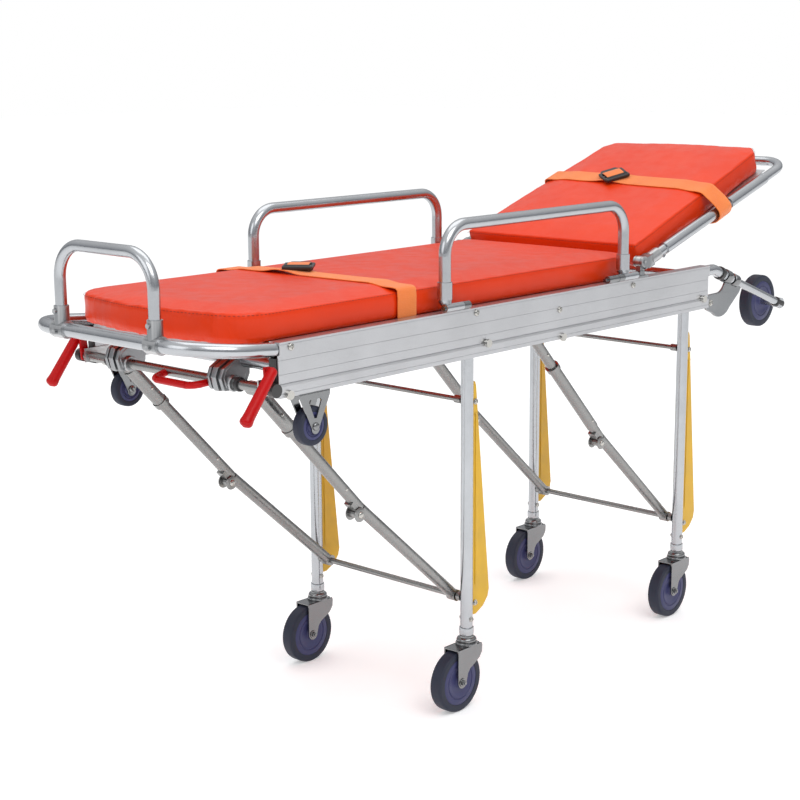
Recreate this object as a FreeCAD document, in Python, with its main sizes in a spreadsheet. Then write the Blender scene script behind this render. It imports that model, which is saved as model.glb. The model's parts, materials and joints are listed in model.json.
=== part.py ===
import FreeCAD, Part
import math
import os
import re

import Sketcher
from FreeCAD import Placement, Rotation, Vector

# Self-loading ambulance stretcher trolley.
# Frame: +X from the foot end to the head end, +Y across (the patient's right hand side),
# +Z up. The origin is on the floor, under the middle of the trolley's bounding box.
# Station values (names ending in _x) are measured from the foot end of the side rails.

DIMENSIONS = {
    # side rails
    "rail_start": -777.05, "rail_length": 1330.0, "rail_outer_y": 262.0, "rail_inner_y": 237.0,
    "rail_bottom": 724.0, "rail_height": 95.0, "rail_wall": 2.5,
    "web_recess": 3.0, "web_bottom": 747.0, "web_height": 49.0,
    # foot end
    "loop_radius": 12.5, "loop_bore": 10.5, "loop_reach": 151.4, "loop_bend": 104.0, "loop_y": 249.0,
    "loop_root_z": 806.3, "loop_bar_z": 820.3,
    "guard_tube_radius": 10.5, "guard_tube_bore": 8.5, "foot_guard_y": 127.2, "foot_guard_top": 970.4,
    "foot_guard_bend": 60.0,
    # bed
    "cross_tube_radius": 10.0, "deck_bottom": 810.0, "deck_thickness": 2.0,
    "cushion_bottom": 814.0, "cushion_thickness": 56.0, "cushion_half_width": 230.0,
    "strap_width": 50.0, "strap_thickness": 2.0,
    # legs and casters
    "foot_leg_x": 544.5, "head_leg_x": 1306.5, "leg_y": 211.0, "leg_radius": 12.5, "leg_bore": 10.5,
    "leg_bottom": 150.0, "leg_top": 762.0, "leg_pivot_z": 746.5, "pivot_radius": 6.0,
    "leg_crossbar_z": 628.0, "crossbar_radius": 5.0, "skid_half_thickness": 5.0,
    "wheel_radius": 62.5, "caster_trail": 34.0, "wheel_half_width": 14.0, "tyre_bore": 49.0,
    "axle_radius": 5.0, "fork_half_width": 19.5, "fork_gap_half": 16.0,
    # folding braces
    "brace_y": 177.0, "brace_root_x": 20.5, "brace_root_z": 728.0, "brace_radius": 11.0,
    "lug_z": 226.0,
    "knee_along": 253.6, "knee_z": 463.5, "knuckle_offset": 14.0, "lower_crossbar_radius": 6.0,
    "brace_sleeve_radius": 13.5,
    # side guards
    "side_guard_start_x": 424.5, "side_guard_end_x": 994.3, "side_guard_y": 258.0,
    "side_guard_top": 979.0, "side_guard_radius": 11.5, "side_guard_bore": 9.5, "side_guard_bend": 55.0,
    "guard_axis_y": 268.0, "guard_axis_z": 829.0, "guard_barrel_radius": 8.0, "guard_pin_radius": 4.0,
    # backrest
    "back_axis_x": 1072.0, "back_axis_z": 852.0, "back_y": 249.5, "back_angle": 17.2,
    "back_tube_radius": 11.0, "back_tube_bore": 9.0, "back_reach": 632.0, "back_bend": 58.0,
    "back_sleeve_radius": 13.5, "back_cushion_tilt": 1.6, "back_cushion_thickness": 54.0,
    # small fixed wheels under the rails, and the loading wheels
    "support_wheel_x": 80.5, "support_wheel_z": 663.5, "support_wheel_radius": 35.0,
    "support_wheel_half_width": 10.0, "support_wheel_y": 249.5,
    "loading_wheel_x": 1663.0, "loading_wheel_z": 697.0, "loading_wheel_y": 192.0,
    "arm_root_z": 806.0, "arm_bend": 40.0, "arm_elbow_radius": 12.5,
    # release controls
    "release_x": -13.0, "release_z": 740.0, "release_radius": 9.0, "grip_radius": 11.5, "grip_y": 265.0,
    "middle_grip_radius": 6.5, "middle_bend": 26.0,
    # backrest strut
    "strut_x": 1060.0, "strut_z": 752.0, "strut_radius": 9.5, "strut_rod_radius": 4.0,
    "strut_along": 110.0, "strut_drop": -33.0, "strut_bar_radius": 4.0,
    "strut_tube_x": 1040.0, "strut_tube_z": 784.0,
}

doc = FreeCAD.newDocument("StretcherTrolley")
sheet = doc.addObject("Spreadsheet::Sheet", "Dimensions")
for row, (alias, number) in enumerate(DIMENSIONS.items(), start=1):
    sheet.set(f"A{row}", alias)
    sheet.set(f"B{row}", str(number))
    sheet.setAlias(f"B{row}", alias)
doc.recompute()

SIDES = {"left": -1, "right": 1}
X_AXIS = Vector(1, 0, 0)
Y_AXIS = Vector(0, 1, 0)
Z_AXIS = Vector(0, 0, 1)
nodes = []


# ---------------------------------------------------------------- helpers

def size(alias):
    """A driving dimension, as a number."""
    return getattr(sheet, alias)


def bind(part, prop, amount):
    """Give a property a plain number, or an expression on the sheet's cells."""
    if isinstance(amount, str):
        part.setExpression(prop, re.sub(r"[a-z]+(?:_[a-z]+)+", r"Dimensions.\g<0>", amount))
    else:
        setattr(part, prop, amount)


def at(x, y, z):
    """A point given by its station along the rail, in the trolley's frame."""
    return Vector(x + size("rail_start"), y, z)


def node(label, part):
    """Name a finished sub-part and keep it for the files."""
    part.Label = label
    nodes.append(part)
    return part


def cylinder(radius, height, base, axis=Z_AXIS):
    part = doc.addObject("Part::Cylinder", "Round")
    bind(part, "Radius", radius)
    bind(part, "Height", height)
    part.Placement = Placement(base, Rotation(Z_AXIS, axis))
    return part


def across(radius, x, z, near, far, side):
    """A round bar along Y on one side, from |y| = near to |y| = far."""
    return cylinder(radius, far - near, at(x, side * near, z), Vector(0, side, 0))


def bar(radius, start, end):
    return cylinder(radius, (end - start).Length, start, end - start)


def cone(radius_low, radius_high, start, end):
    part = doc.addObject("Part::Cone", "Taper")
    bind(part, "Radius1", radius_low)
    bind(part, "Radius2", radius_high)
    part.Height = (end - start).Length
    part.Placement = Placement(start, Rotation(Z_AXIS, end - start))
    return part


def ball(radius, centre):
    part = doc.addObject("Part::Sphere", "Ball")
    bind(part, "Radius", radius)
    part.Placement.Base = centre
    return part


def box(length, width, height, corner):
    part = doc.addObject("Part::Box", "Block")
    bind(part, "Length", length)
    bind(part, "Width", width)
    bind(part, "Height", height)
    part.Placement.Base = corner
    return part


def side_box(length, height, x, z, near, far, side):
    """A box on one side of the trolley, between |y| = near and |y| = far."""
    return box(length, far - near, height, at(x, near if side > 0 else -far, z))


def fuse(parts):
    part = doc.addObject("Part::MultiFuse", "Joined")
    part.Shapes = parts
    return part


def compound(parts):
    """Separate solids that touch but stay separate, kept as one sub-part."""
    part = doc.addObject("Part::Compound", "Group")
    part.Links = parts
    return part


def cut(base, tools):
    part = doc.addObject("Part::Cut", "Trimmed")
    part.Base = base
    part.Tool = tools[0] if len(tools) == 1 else fuse(tools)
    return part


def tube(outer, bore, start, end):
    """A straight hollow tube."""
    return cut(bar(outer, start, end), [bar(bore, start, end)])


def turned_about(part, centre, axis, degrees):
    """Turn a finished part about a line through a point."""
    swing = Placement(Vector(), Rotation(axis, degrees), centre)
    part.Placement = swing.multiply(part.Placement)
    return part


def sketch_in(body, role):
    """A sketch on one of a body's own origin planes."""
    sketch = body.newObject("Sketcher::SketchObject", "Sketch")
    plane = next(feature for feature in body.Origin.OriginFeatures if feature.Role == role)
    sketch.AttachmentSupport = [(plane, "")]
    sketch.MapMode = "FlatFace"
    return sketch


def coordinate(entry):
    """A sketch coordinate is a number, or a cell's alias with an optional minus sign."""
    if not isinstance(entry, str):
        return entry, None
    sign = -1 if entry.startswith("-") else 1
    alias = entry.lstrip("-")
    return sign * size(alias), f"{'-' if sign < 0 else ''}Dimensions.{alias}"


def outline(sketch, points):
    """A closed outline of straight lines, with the corners that name a cell bound to it."""
    corners = [(coordinate(x), coordinate(y)) for x, y in points]
    places = [Vector(x[0], y[0], 0) for x, y in corners]
    lines = [sketch.addGeometry(Part.LineSegment(start, end))
             for start, end in zip(places, places[1:] + places[:1])]
    for index, line in enumerate(lines):
        following = lines[(index + 1) % len(lines)]
        sketch.addConstraint(Sketcher.Constraint("Coincident", line, 2, following, 1))
        for kind, (number, expression) in zip(("DistanceX", "DistanceY"), corners[index]):
            if expression:
                rule = sketch.addConstraint(Sketcher.Constraint(kind, -1, 1, line, 1, number))
                sketch.setExpression(f"Constraints[{rule}]", expression)


def plate(points, thickness, placement, role="XZ_Plane"):
    """A flat plate of the given outline, its thickness centred on the sketch's plane."""
    body = doc.addObject("PartDesign::Body", "Plate")
    profile = sketch_in(body, role)
    outline(profile, points)
    pad = body.newObject("PartDesign::Pad", "Pad")
    pad.Profile = profile
    pad.SideType = "Symmetric"
    bind(pad, "Length", thickness)
    body.Placement = placement
    return body


def turned(points, placement):
    """A solid of revolution about the body's Y axis, from (radius, y) points."""
    body = doc.addObject("PartDesign::Body", "Turned")
    profile = sketch_in(body, "XY_Plane")
    outline(profile, points)
    spin = body.newObject("PartDesign::Revolution", "Revolution")
    spin.Profile = profile
    spin.ReferenceAxis = (profile, ["V_Axis"])
    spin.Angle = 360
    body.Placement = placement
    return body


def bent_tube(corners, bend, outer, bore, placement):
    """A tube along a flat path that starts at the origin along local +X, with round bends."""
    body = doc.addObject("PartDesign::Body", "BentTube")
    path = sketch_in(body, "XY_Plane")
    radius = size(bend)
    start = Vector(*corners[0], 0)
    for before, corner, after in zip(corners, corners[1:], corners[2:]):
        corner = Vector(*corner, 0)
        arrive = (corner - Vector(*before, 0)).normalize()
        leave = (Vector(*after, 0) - corner).normalize()
        reach = radius * math.tan(arrive.getAngle(leave) / 2)
        first, last = corner - arrive * reach, corner + leave * reach
        inward = (leave - arrive).normalize()
        middle = corner + inward * (math.hypot(radius, reach) - radius)
        path.addGeometry(Part.LineSegment(start, first))
        arc = path.addGeometry(Part.Arc(first, middle, last))
        rule = path.addConstraint(Sketcher.Constraint("Radius", arc, radius))
        path.setExpression(f"Constraints[{rule}]", f"Dimensions.{bend}")
        start = last
    path.addGeometry(Part.LineSegment(start, Vector(*corners[-1], 0)))
    profile = sketch_in(body, "YZ_Plane")
    for alias in filter(None, (outer, bore)):
        ring = profile.addGeometry(Part.Circle(Vector(), Z_AXIS, size(alias)))
        rule = profile.addConstraint(Sketcher.Constraint("Radius", ring, size(alias)))
        profile.setExpression(f"Constraints[{rule}]", f"Dimensions.{alias}")
    doc.recompute()
    pipe = body.newObject("PartDesign::AdditivePipe", "Pipe")
    pipe.Profile = profile
    pipe.Spine = path
    body.Placement = placement
    return body


# ---------------------------------------------------------------- side rails

RAIL_TOP = size("rail_bottom") + size("rail_height")
SCREWS = ((26.0, 809.0, 262.0), (511.0, 809.0, 262.0), (775.0, 784.0, 259.0), (1028.0, 807.0, 262.0))
LEGS = {"foot": size("foot_leg_x"), "head": size("head_leg_x")}
LINK_SHIFT = LEGS["head"] - LEGS["foot"]
ROOT_X, ROOT_Z = size("brace_root_x"), size("brace_root_z")
LEG_Z = size("leg_pivot_z")
# Each pivot through the rails: its station, its height, and where its eye starts and ends.
BRACE_EYE = (size("brace_y") - 13, size("brace_y") + 12.5)
LEG_EYE = (size("leg_y") - 15, size("leg_y") + 13.5)
PIVOTS = [(ROOT_X + shift, ROOT_Z, *BRACE_EYE) for shift in (0, LINK_SHIFT)]
PIVOTS += [(x, LEG_Z, *LEG_EYE) for x in LEGS.values()]
GROOVE, GROOVE_DEPTH = 1.2, 0.9
SCREW_RADIUS, SCREW_HEAD_RADIUS, SCREW_HEAD = 3.0, 6.5, 4.0


def side_rail(side):
    """A hollow rail with a recessed web, fine grooves and the holes for its bolts."""
    inner, outer = size("rail_inner_y"), size("rail_outer_y")
    solid = side_box("rail_length", "rail_height", 0, size("rail_bottom"), inner, outer, side)
    wall, recess = size("rail_wall"), size("web_recess")
    cavity = side_box("rail_length", "rail_height - 2 * rail_wall", 0, size("rail_bottom") + wall,
                      inner + wall, outer - wall - recess, side)
    web = side_box("rail_length", "web_height", 0, size("web_bottom"), outer - recess, outer + 1, side)
    tools = [cavity, web]
    for depth_y, z in ((outer - recess, 763.0), (outer - recess, 787.5), (outer, 731.0), (outer, 814.5)):
        tools.append(side_box("rail_length", GROOVE, 0, z, depth_y - GROOVE_DEPTH, depth_y + 1, side))
    half_cut = 4.0 / math.sqrt(2)
    edge = side_box("rail_length", 2 * half_cut, 0, size("web_bottom") - half_cut,
                    outer - half_cut, outer + half_cut, side)
    tools.append(turned_about(edge, at(0, side * outer, size("web_bottom")), X_AXIS, 45))
    for x, z, _ in SCREWS:
        tools.append(across(SCREW_RADIUS + 0.05, x, z, inner + 8, outer + 1, side))
    for x, z, *_ in PIVOTS:
        tools.append(across("pivot_radius", x, z, inner - 1, outer + 1, side))
    return cut(solid, tools)


for name, side in SIDES.items():
    node(f"side_rail_{name}", side_rail(side))

fasteners = []
for side in SIDES.values():
    for x, z, face in SCREWS:
        fasteners.append(fuse([across(SCREW_HEAD_RADIUS, x, z, face, face + SCREW_HEAD, side),
                               across(SCREW_RADIUS, x, z, face - 12, face, side)]))
node("rail_fasteners", fuse(fasteners))

# Pivot bolts through the rails: the braces' upper ends and the legs turn on them.
SPACER_RADIUS, BOLT_HEAD_RADIUS, BOLT_HEAD = 9.5, 8.0, 5.0
bolts = []
for side in SIDES.values():
    for x, z, near, far in PIVOTS:
        outer = size("rail_outer_y")
        bolts.append(fuse([across("pivot_radius", x, z, near - 3, outer + BOLT_HEAD, side),
                           across(SPACER_RADIUS, x, z, far, size("rail_inner_y"), side),
                           across(BOLT_HEAD_RADIUS, x, z, outer, outer + BOLT_HEAD, side),
                           across(BOLT_HEAD_RADIUS, x, z, near - 3, near - 0.5, side)]))
node("pivot_bolts", fuse(bolts))

PLUG = 2.0
plugs = []
for side in SIDES.values():
    for start in (-PLUG, size("rail_length")):
        plugs.append(side_box(PLUG, 66.0, start, size("rail_bottom") + 1, 238, 255.4, side))
node("rail_end_plugs", fuse(plugs))

# ---------------------------------------------------------------- foot end

loop_gap = 1.3
loop_rise = size("loop_bar_z") - size("loop_root_z")
loop_tilt = math.degrees(math.atan2(loop_rise, size("loop_reach") - loop_gap))
loop_arm = math.hypot(loop_rise, size("loop_reach") - loop_gap)
loop_width = 2 * size("loop_y")
foot_loop = bent_tube([(0, 0), (loop_arm, 0), (loop_arm, -loop_width), (0, -loop_width)],
                      "loop_bend", "loop_radius", "loop_bore",
                      Placement(at(-loop_gap, -size("loop_y"), size("loop_root_z")),
                                Rotation(Y_AXIS, loop_tilt) * Rotation(Z_AXIS, 180)))
node("foot_end_loop", foot_loop)

sleeve_foot = size("loop_bar_z") + 16
guard_rise = size("foot_guard_top") - sleeve_foot
guard_span = 2 * size("foot_guard_y")
upright = Rotation(Vector(0, 0, 1), Vector(0, 1, 0), Vector(-1, 0, 0), "XYZ")
foot_guard = bent_tube([(0, 0), (guard_rise, 0), (guard_rise, guard_span), (0, guard_span)],
                       "foot_guard_bend", "guard_tube_radius", "guard_tube_bore",
                       Placement(at(-size("loop_reach"), -size("foot_guard_y"), sleeve_foot), upright))
node("foot_guard", foot_guard)

clamps = []
for side in SIDES.values():
    centre = at(-size("loop_reach"), side * size("foot_guard_y"), size("loop_bar_z"))
    half = Vector(0, 16.5, 0)
    collar = bar("loop_radius + 3.5", centre - half, centre + half)
    riser = bar("guard_tube_radius + 3", centre + Z_AXIS * 8, centre + Z_AXIS * 42)
    screws = [bar(4.5, centre + Vector(-20, 0, -3), centre + Vector(-14, 0, -3)),
              bar(4.5, centre + Vector(-17, 0, 33), centre + Vector(-12, 0, 33))]
    bores = [bar("loop_radius + 0.05", centre - half, centre + half),
             bar("guard_tube_radius + 0.05", centre + Z_AXIS * 15.9, centre + Z_AXIS * 43)]
    clamps.append(cut(fuse([collar, riser] + screws), bores))
node("foot_guard_clamps", fuse(clamps))

# ---------------------------------------------------------------- bed

cross_z = size("deck_bottom") - size("cross_tube_radius")
gap_y = size("rail_inner_y")
SPREADER_X, SPREADER_Z, SPREADER_RADIUS = 16.0, 776.0, 12.0
cross_tubes = []
for x in (70.0, 300.0, 500.0, 740.0, 900.0, 1030.0, 1290.0):
    cross_tubes.append(tube("cross_tube_radius", "cross_tube_radius - 2",
                            at(x, -gap_y, cross_z), at(x, gap_y, cross_z)))
cross_tubes.append(tube(SPREADER_RADIUS, SPREADER_RADIUS - 2.5,
                        at(SPREADER_X, -gap_y, SPREADER_Z), at(SPREADER_X, gap_y, SPREADER_Z)))
# The strut's lower bracket hangs from its own cross tube.
strut_x, strut_tube_x, strut_tube_z = size("strut_x"), size("strut_tube_x"), size("strut_tube_z")
STRUT_TUBE_RADIUS, STRUT_PIN_RADIUS, EAR = 8.0, 4.0, 4.0
cross_tubes.append(tube(STRUT_TUBE_RADIUS, STRUT_TUBE_RADIUS - 2,
                        at(strut_tube_x, -gap_y, strut_tube_z), at(strut_tube_x, gap_y, strut_tube_z)))
for near in (-10.2 - EAR, 10.2):
    ear = box(42, EAR, 43, at(strut_x - 32, near, size("strut_z") - 8))
    low, high = near - 1, near + EAR + 1
    holes = [bar(radius + 0.05, at(x, low, z), at(x, high, z))
             for radius, x, z in ((STRUT_PIN_RADIUS, strut_x, size("strut_z")),
                                  (STRUT_TUBE_RADIUS, strut_tube_x, strut_tube_z))]
    cross_tubes.append(cut(ear, holes))
node("bed_cross_tubes", compound(cross_tubes))

DECK_HALF = 236.0
node("bed_deck", box(1040.0, 2 * DECK_HALF, "deck_thickness", at(5, -DECK_HALF, size("deck_bottom"))))


def cushion_outline(half):
    """The mattress seen from above: round foot corners and a slightly bowed foot edge."""
    head, foot, corner = 1056.0, -66.0, 78.0
    points = [(head, -half), (head, half)]
    for side in (1, -1):
        quarter = []
        for degrees in range(0, 91, 15):
            angle = math.radians(degrees)
            quarter.append((foot + corner - corner * math.sin(angle),
                            side * (half - corner + corner * math.cos(angle))))
        points += quarter if side > 0 else quarter[::-1]
        if side > 0:
            points += [(foot - 16, 90.0), (foot - 21, 0.0), (foot - 16, -90.0)]
    return points


cushion_middle = at(0, 0, size("cushion_bottom") + size("cushion_thickness") / 2)
node("main_cushion", plate(cushion_outline(size("cushion_half_width")), "cushion_thickness",
                           Placement(cushion_middle, Rotation()), "XY_Plane"))


SOFT_GAP = 0.3


def strap_over(half, low, high, placement):
    """Webbing that crosses the top of a pad and runs down both of its sides."""
    inner_half, outer_half = half + SOFT_GAP, half + SOFT_GAP + size("strap_thickness")
    middle = size("strap_width") / 2
    outer = box("strap_width", 2 * outer_half, high - low, Vector(-middle, -outer_half, low))
    inner = box("strap_width + 2", 2 * inner_half, high - low - size("strap_thickness"),
                Vector(-middle - 1, -inner_half, low))
    strap = cut(outer, [inner])
    strap.Placement = placement
    return strap


strap_top = size("cushion_bottom") + size("cushion_thickness") + SOFT_GAP + size("strap_thickness")
STRAP_X, BUCKLE_THICKNESS = 330.0, 9.0
buckle_lift = SOFT_GAP + BUCKLE_THICKNESS / 2
node("main_strap", strap_over(size("cushion_half_width"), size("cushion_bottom") + 2, strap_top,
                              Placement(at(STRAP_X, 0, 0), Rotation())))


def buckle(placement):
    """A side-release buckle: a flat body with a narrower socket end."""
    body = [(-24.0, -20.0), (24.0, -20.0), (24.0, 14.0), (17.0, 34.0), (-17.0, 34.0), (-24.0, 14.0)]
    return plate(body, BUCKLE_THICKNESS, placement, "XY_Plane")


node("main_buckle", buckle(Placement(at(STRAP_X, -5, strap_top + buckle_lift), Rotation())))

# ---------------------------------------------------------------- small fixed wheels

support_forks = []
HUB_FACE = [(12.0, 0.0), (12.0, 2.0), (24.0, 2.0), (24.0, 0.0)]
for name, side in SIDES.items():
    x, y, z = size("support_wheel_x"), side * size("support_wheel_y"), size("support_wheel_z")
    top = size("rail_bottom") - z
    middle = Placement(at(x, y, z), Rotation())
    cheeks = plate([(-36.0, top), (-36.0, top - 8), (-9.0, -12.0), (9.0, -12.0), (36.0, top - 8),
                    (36.0, top)], 28.0, middle)
    slot = box(80, 22, top - 3 + 20, at(x - 40, y - 11, z - 20))
    window = plate([(-17.0, top - 13), (0.0, 17.0), (17.0, top - 13)], 40.0, middle)
    axle = bar("axle_radius", at(x, y - 16, z), at(x, y + 16, z))
    nuts = [bar(7.5, at(x, y + s * 13.5, z), at(x, y + s * 18, z)) for s in (-1, 1)]
    support_forks.append(fuse([cut(cheeks, [slot, window]), axle] + nuts))
    tread, half = size("support_wheel_radius"), size("support_wheel_half_width")
    bore = (size("axle_radius") + 0.05, "support_wheel_half_width")
    face = [bore] + [(radius, half - depth) for radius, depth in HUB_FACE] + [(tread - 3, half), (tread, 6.0)]
    far_face = [(radius, -half if isinstance(height, str) else -height) for radius, height in face]
    node(f"support_wheel_{name}", turned(face + far_face[::-1], middle))
node("support_wheel_forks", fuse(support_forks))

# ---------------------------------------------------------------- legs

SKID_FACE = size("leg_radius") + 0.2
SKID = [(SKID_FACE, 188.0), (25.0, 188.0), (47.0, 200.0), (63.0, 218.0), (65.0, 232.0), (22.0, 655.0),
        (17.0, 664.0), (SKID_FACE, 664.0)]
SKID_BOLT_Z, SKID_BOLT_X, SKID_BOLT_RADIUS = (213.0, 624.0), 17.2, 4.0
span = size("leg_y") - size("leg_radius")
for name, x in LEGS.items():
    legs, skids, rungs = [], [], []
    for side in SIDES.values():
        y = side * size("leg_y")
        shaft = tube("leg_radius", "leg_bore", at(x, y, size("leg_bottom")), at(x, y, size("leg_top")))
        legs.append(cut(shaft, [bar("pivot_radius + 0.05", at(x, y - 20, LEG_Z), at(x, y + 20, LEG_Z))]))
        blade = plate(SKID, "2 * skid_half_thickness", Placement(at(x, y, 0), Rotation()))
        bolts = [bar(SKID_BOLT_RADIUS, at(x + SKID_BOLT_X, y - 9, z), at(x + SKID_BOLT_X, y + 9, z))
                 for z in SKID_BOLT_Z]
        skids.append(fuse([blade] + bolts))
        rungs.append(across(9.0, x, size("lug_z"), span - 9, span, side))
        rungs.append(across(8.0, x, size("leg_crossbar_z"), span - 16, span, side))
    rung = bar("crossbar_radius", at(x, -span, size("leg_crossbar_z")), at(x, span, size("leg_crossbar_z")))
    node(f"{name}_legs", fuse(legs))
    node(f"{name}_leg_crossbar", fuse([rung] + rungs))
    node(f"{name}_leg_skids", fuse(skids))

# ---------------------------------------------------------------- casters


def caster_fork(x, y):
    """A swivel fork: kingpin, round cup, crown and two trailing cheeks with the axle."""
    trail, axle_z = size("caster_trail"), size("wheel_radius")
    centre = at(x - trail, y, axle_z)
    cheeks = plate([(trail - 24, 84.0), (trail + 24, 84.0), (trail + 24, 74.0), (14.0, -8.0), (6.0, -15.0),
                    (-6.0, -15.0), (-14.0, -8.0), (-14.0, 20.0)],
                   "2 * fork_half_width", Placement(centre, Rotation()))
    gap = box(200, "2 * fork_gap_half", 200, at(x - 130, y - size("fork_gap_half"), axle_z + 66 - 200))
    stem = bar(8.0, at(x, y, axle_z + 70), at(x, y, 200.0))
    cup = bar(22.0, at(x, y, 128.5), at(x, y, size("leg_bottom") - 0.5))
    axle = bar("axle_radius", centre - Y_AXIS * 18, centre + Y_AXIS * 18)
    cheek_y = size("fork_half_width")
    nuts = [bar(8.5, centre + Y_AXIS * s * cheek_y, centre + Y_AXIS * s * 23) for s in (-1, 1)]
    return fuse([cut(cheeks, [gap]), stem, cup, axle] + nuts)


def wheel(x, y, z, name):
    """A trolley wheel: a round-shouldered tread on a hub with a ring groove on each face."""
    rim = size("tyre_bore")
    half = size("wheel_half_width")
    tread = [(rim, "-wheel_half_width"), (57.0, "-wheel_half_width"), (61.0, -11.0), ("wheel_radius", -7.0),
             ("wheel_radius", 7.0), (61.0, 11.0), (57.0, "wheel_half_width"), (rim, "wheel_half_width")]
    face = [(size("axle_radius") + 0.05, half), (16.0, half), (18.0, half - 3), (28.0, half - 3),
            (30.0, half - 1), (rim, half - 1)]
    hub = [(radius, -depth) for radius, depth in face] + face[::-1]
    where = Placement(at(x, y, z), Rotation())
    if name.startswith("loading"):
        node(name, fuse([turned(tread, where), turned(hub, where)]))
    else:
        node(f"{name}_tyre", turned(tread, where))
        node(f"{name}_hub", turned(hub, where))


for name, x in LEGS.items():
    for hand, side in SIDES.items():
        y = side * size("leg_y")
        node(f"{name}_{hand}_caster_fork", caster_fork(x, y))
        wheel(x - size("caster_trail"), y, size("wheel_radius"), f"{name}_{hand}_caster")

# ---------------------------------------------------------------- folding braces
# Each side has an upper and a lower brace joined by a knuckle. The knuckle's pin lies below
# the tubes, so that they fold back side by side.

KNEE = Vector(ROOT_X + size("knee_along"), 0, size("knee_z"))
LUG = Vector(size("foot_leg_x"), 0, size("lug_z"))
ROOT = Vector(ROOT_X, 0, ROOT_Z)
along_upper = (KNEE - ROOT).normalize()
along_lower = (LUG - KNEE).normalize()
below = Vector(-(along_upper.z + along_lower.z), 0, along_upper.x + along_lower.x).normalize() * -1
PIN = KNEE + below * size("knuckle_offset")

PIN_RADIUS, PIN_HEAD_RADIUS = 3.95, 6.0
FORK_RADIUS, FORK_HALF, TONGUE_HALF = 8.0, 10.8, 5.8


def brace_upper(name, spot):
    """An upper brace: an eye on the rail's pivot, a sleeved tube and the knuckle's fork with its pin."""
    eye = bar(12.5, spot(ROOT, -12), spot(ROOT, 12))
    body = bar("brace_radius", spot(ROOT + along_upper * 9), spot(KNEE - along_upper * 1.5))
    if name == "foot":
        sleeve = bar("brace_sleeve_radius", spot(ROOT + along_upper * 16), spot(ROOT + along_upper * 118))
    else:
        sleeve = bar("brace_sleeve_radius - 1", spot(ROOT + along_upper * 118), spot(KNEE - along_upper * 40))
    ring = bar("brace_sleeve_radius + 1.5", spot(ROOT + along_upper * 112), spot(ROOT + along_upper * 124))
    fork = bar(FORK_RADIUS, spot(PIN, -FORK_HALF), spot(PIN, FORK_HALF))
    web = plate([(-30.0, 12.0), (-0.4, 12.0), (-0.4, 0.0), (-30.0, 0.0)], 19.0,
                Placement(spot(PIN), Rotation(X_AXIS, along_upper)))
    tongue_gap = bar(10.5, spot(PIN, -TONGUE_HALF - 0.4), spot(PIN, TONGUE_HALF + 0.4))
    pin_bore = bar(PIN_RADIUS + 0.05, spot(PIN, -11), spot(PIN, 11))
    root_bore = bar("pivot_radius + 0.05", spot(ROOT, -20), spot(ROOT, 20))
    upper = cut(fuse([eye, body, sleeve, ring, web, fork]), [tongue_gap, pin_bore, root_bore])
    heads = [bar(PIN_HEAD_RADIUS, spot(PIN, s * 11.1), spot(PIN, s * 14.5)) for s in (-1, 1)]
    return fuse([upper, bar(PIN_RADIUS, spot(PIN, -12), spot(PIN, 12))] + heads)


def brace_lower(spot):
    """A lower brace: the knuckle's tongue, a tube and an eye for the bar between the legs."""
    stalk = bar("brace_radius", spot(KNEE + along_lower * 1.5), spot(LUG - along_lower * 6))
    web = plate([(0.0, -4.0), (8.0, -2.0), (10.0, 2.5), (30.0, 4.5), (30.0, 12.0), (6.0, 12.0), (0.0, 7.0)],
                2 * TONGUE_HALF,
                Placement(spot(PIN), Rotation(X_AXIS, along_lower)))
    tongue = bar(FORK_RADIUS, spot(PIN, -TONGUE_HALF), spot(PIN, TONGUE_HALF))
    tools = [bar(PIN_RADIUS + 0.07, spot(PIN, -20), spot(PIN, 20)),
             bar("lower_crossbar_radius", spot(LUG, -20), spot(LUG, 20))]
    tools += [bar(9.5, spot(PIN, s * (TONGUE_HALF + 0.2)), spot(PIN, s * 12)) for s in (-1, 1)]
    foot_eye = bar(11.5, spot(LUG, -10), spot(LUG, 10))
    return cut(fuse([stalk, web, tongue, foot_eye]), tools)


for name, shift in (("foot", 0.0), ("head", LINK_SHIFT)):
    uppers, lowers = [], []
    for side in SIDES.values():
        middle = Vector(size("rail_start") + shift, side * size("brace_y"), 0)

        def spot(point, aside=0.0, middle=middle):
            """A point of the linkage's side view, placed on one of the trolley's braces."""
            return point + middle + Y_AXIS * aside

        uppers.append(brace_upper(name, spot))
        lowers.append(brace_lower(spot))
    half = Y_AXIS * (size("brace_y") + 11)
    crossing = at(LUG.x + shift, 0, LUG.z)
    lowers.append(bar("lower_crossbar_radius", crossing - half, crossing + half))
    node(f"{name}_upper_braces", fuse(uppers))
    node(f"{name}_lower_braces", compound(lowers))

# ---------------------------------------------------------------- side guards

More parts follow.
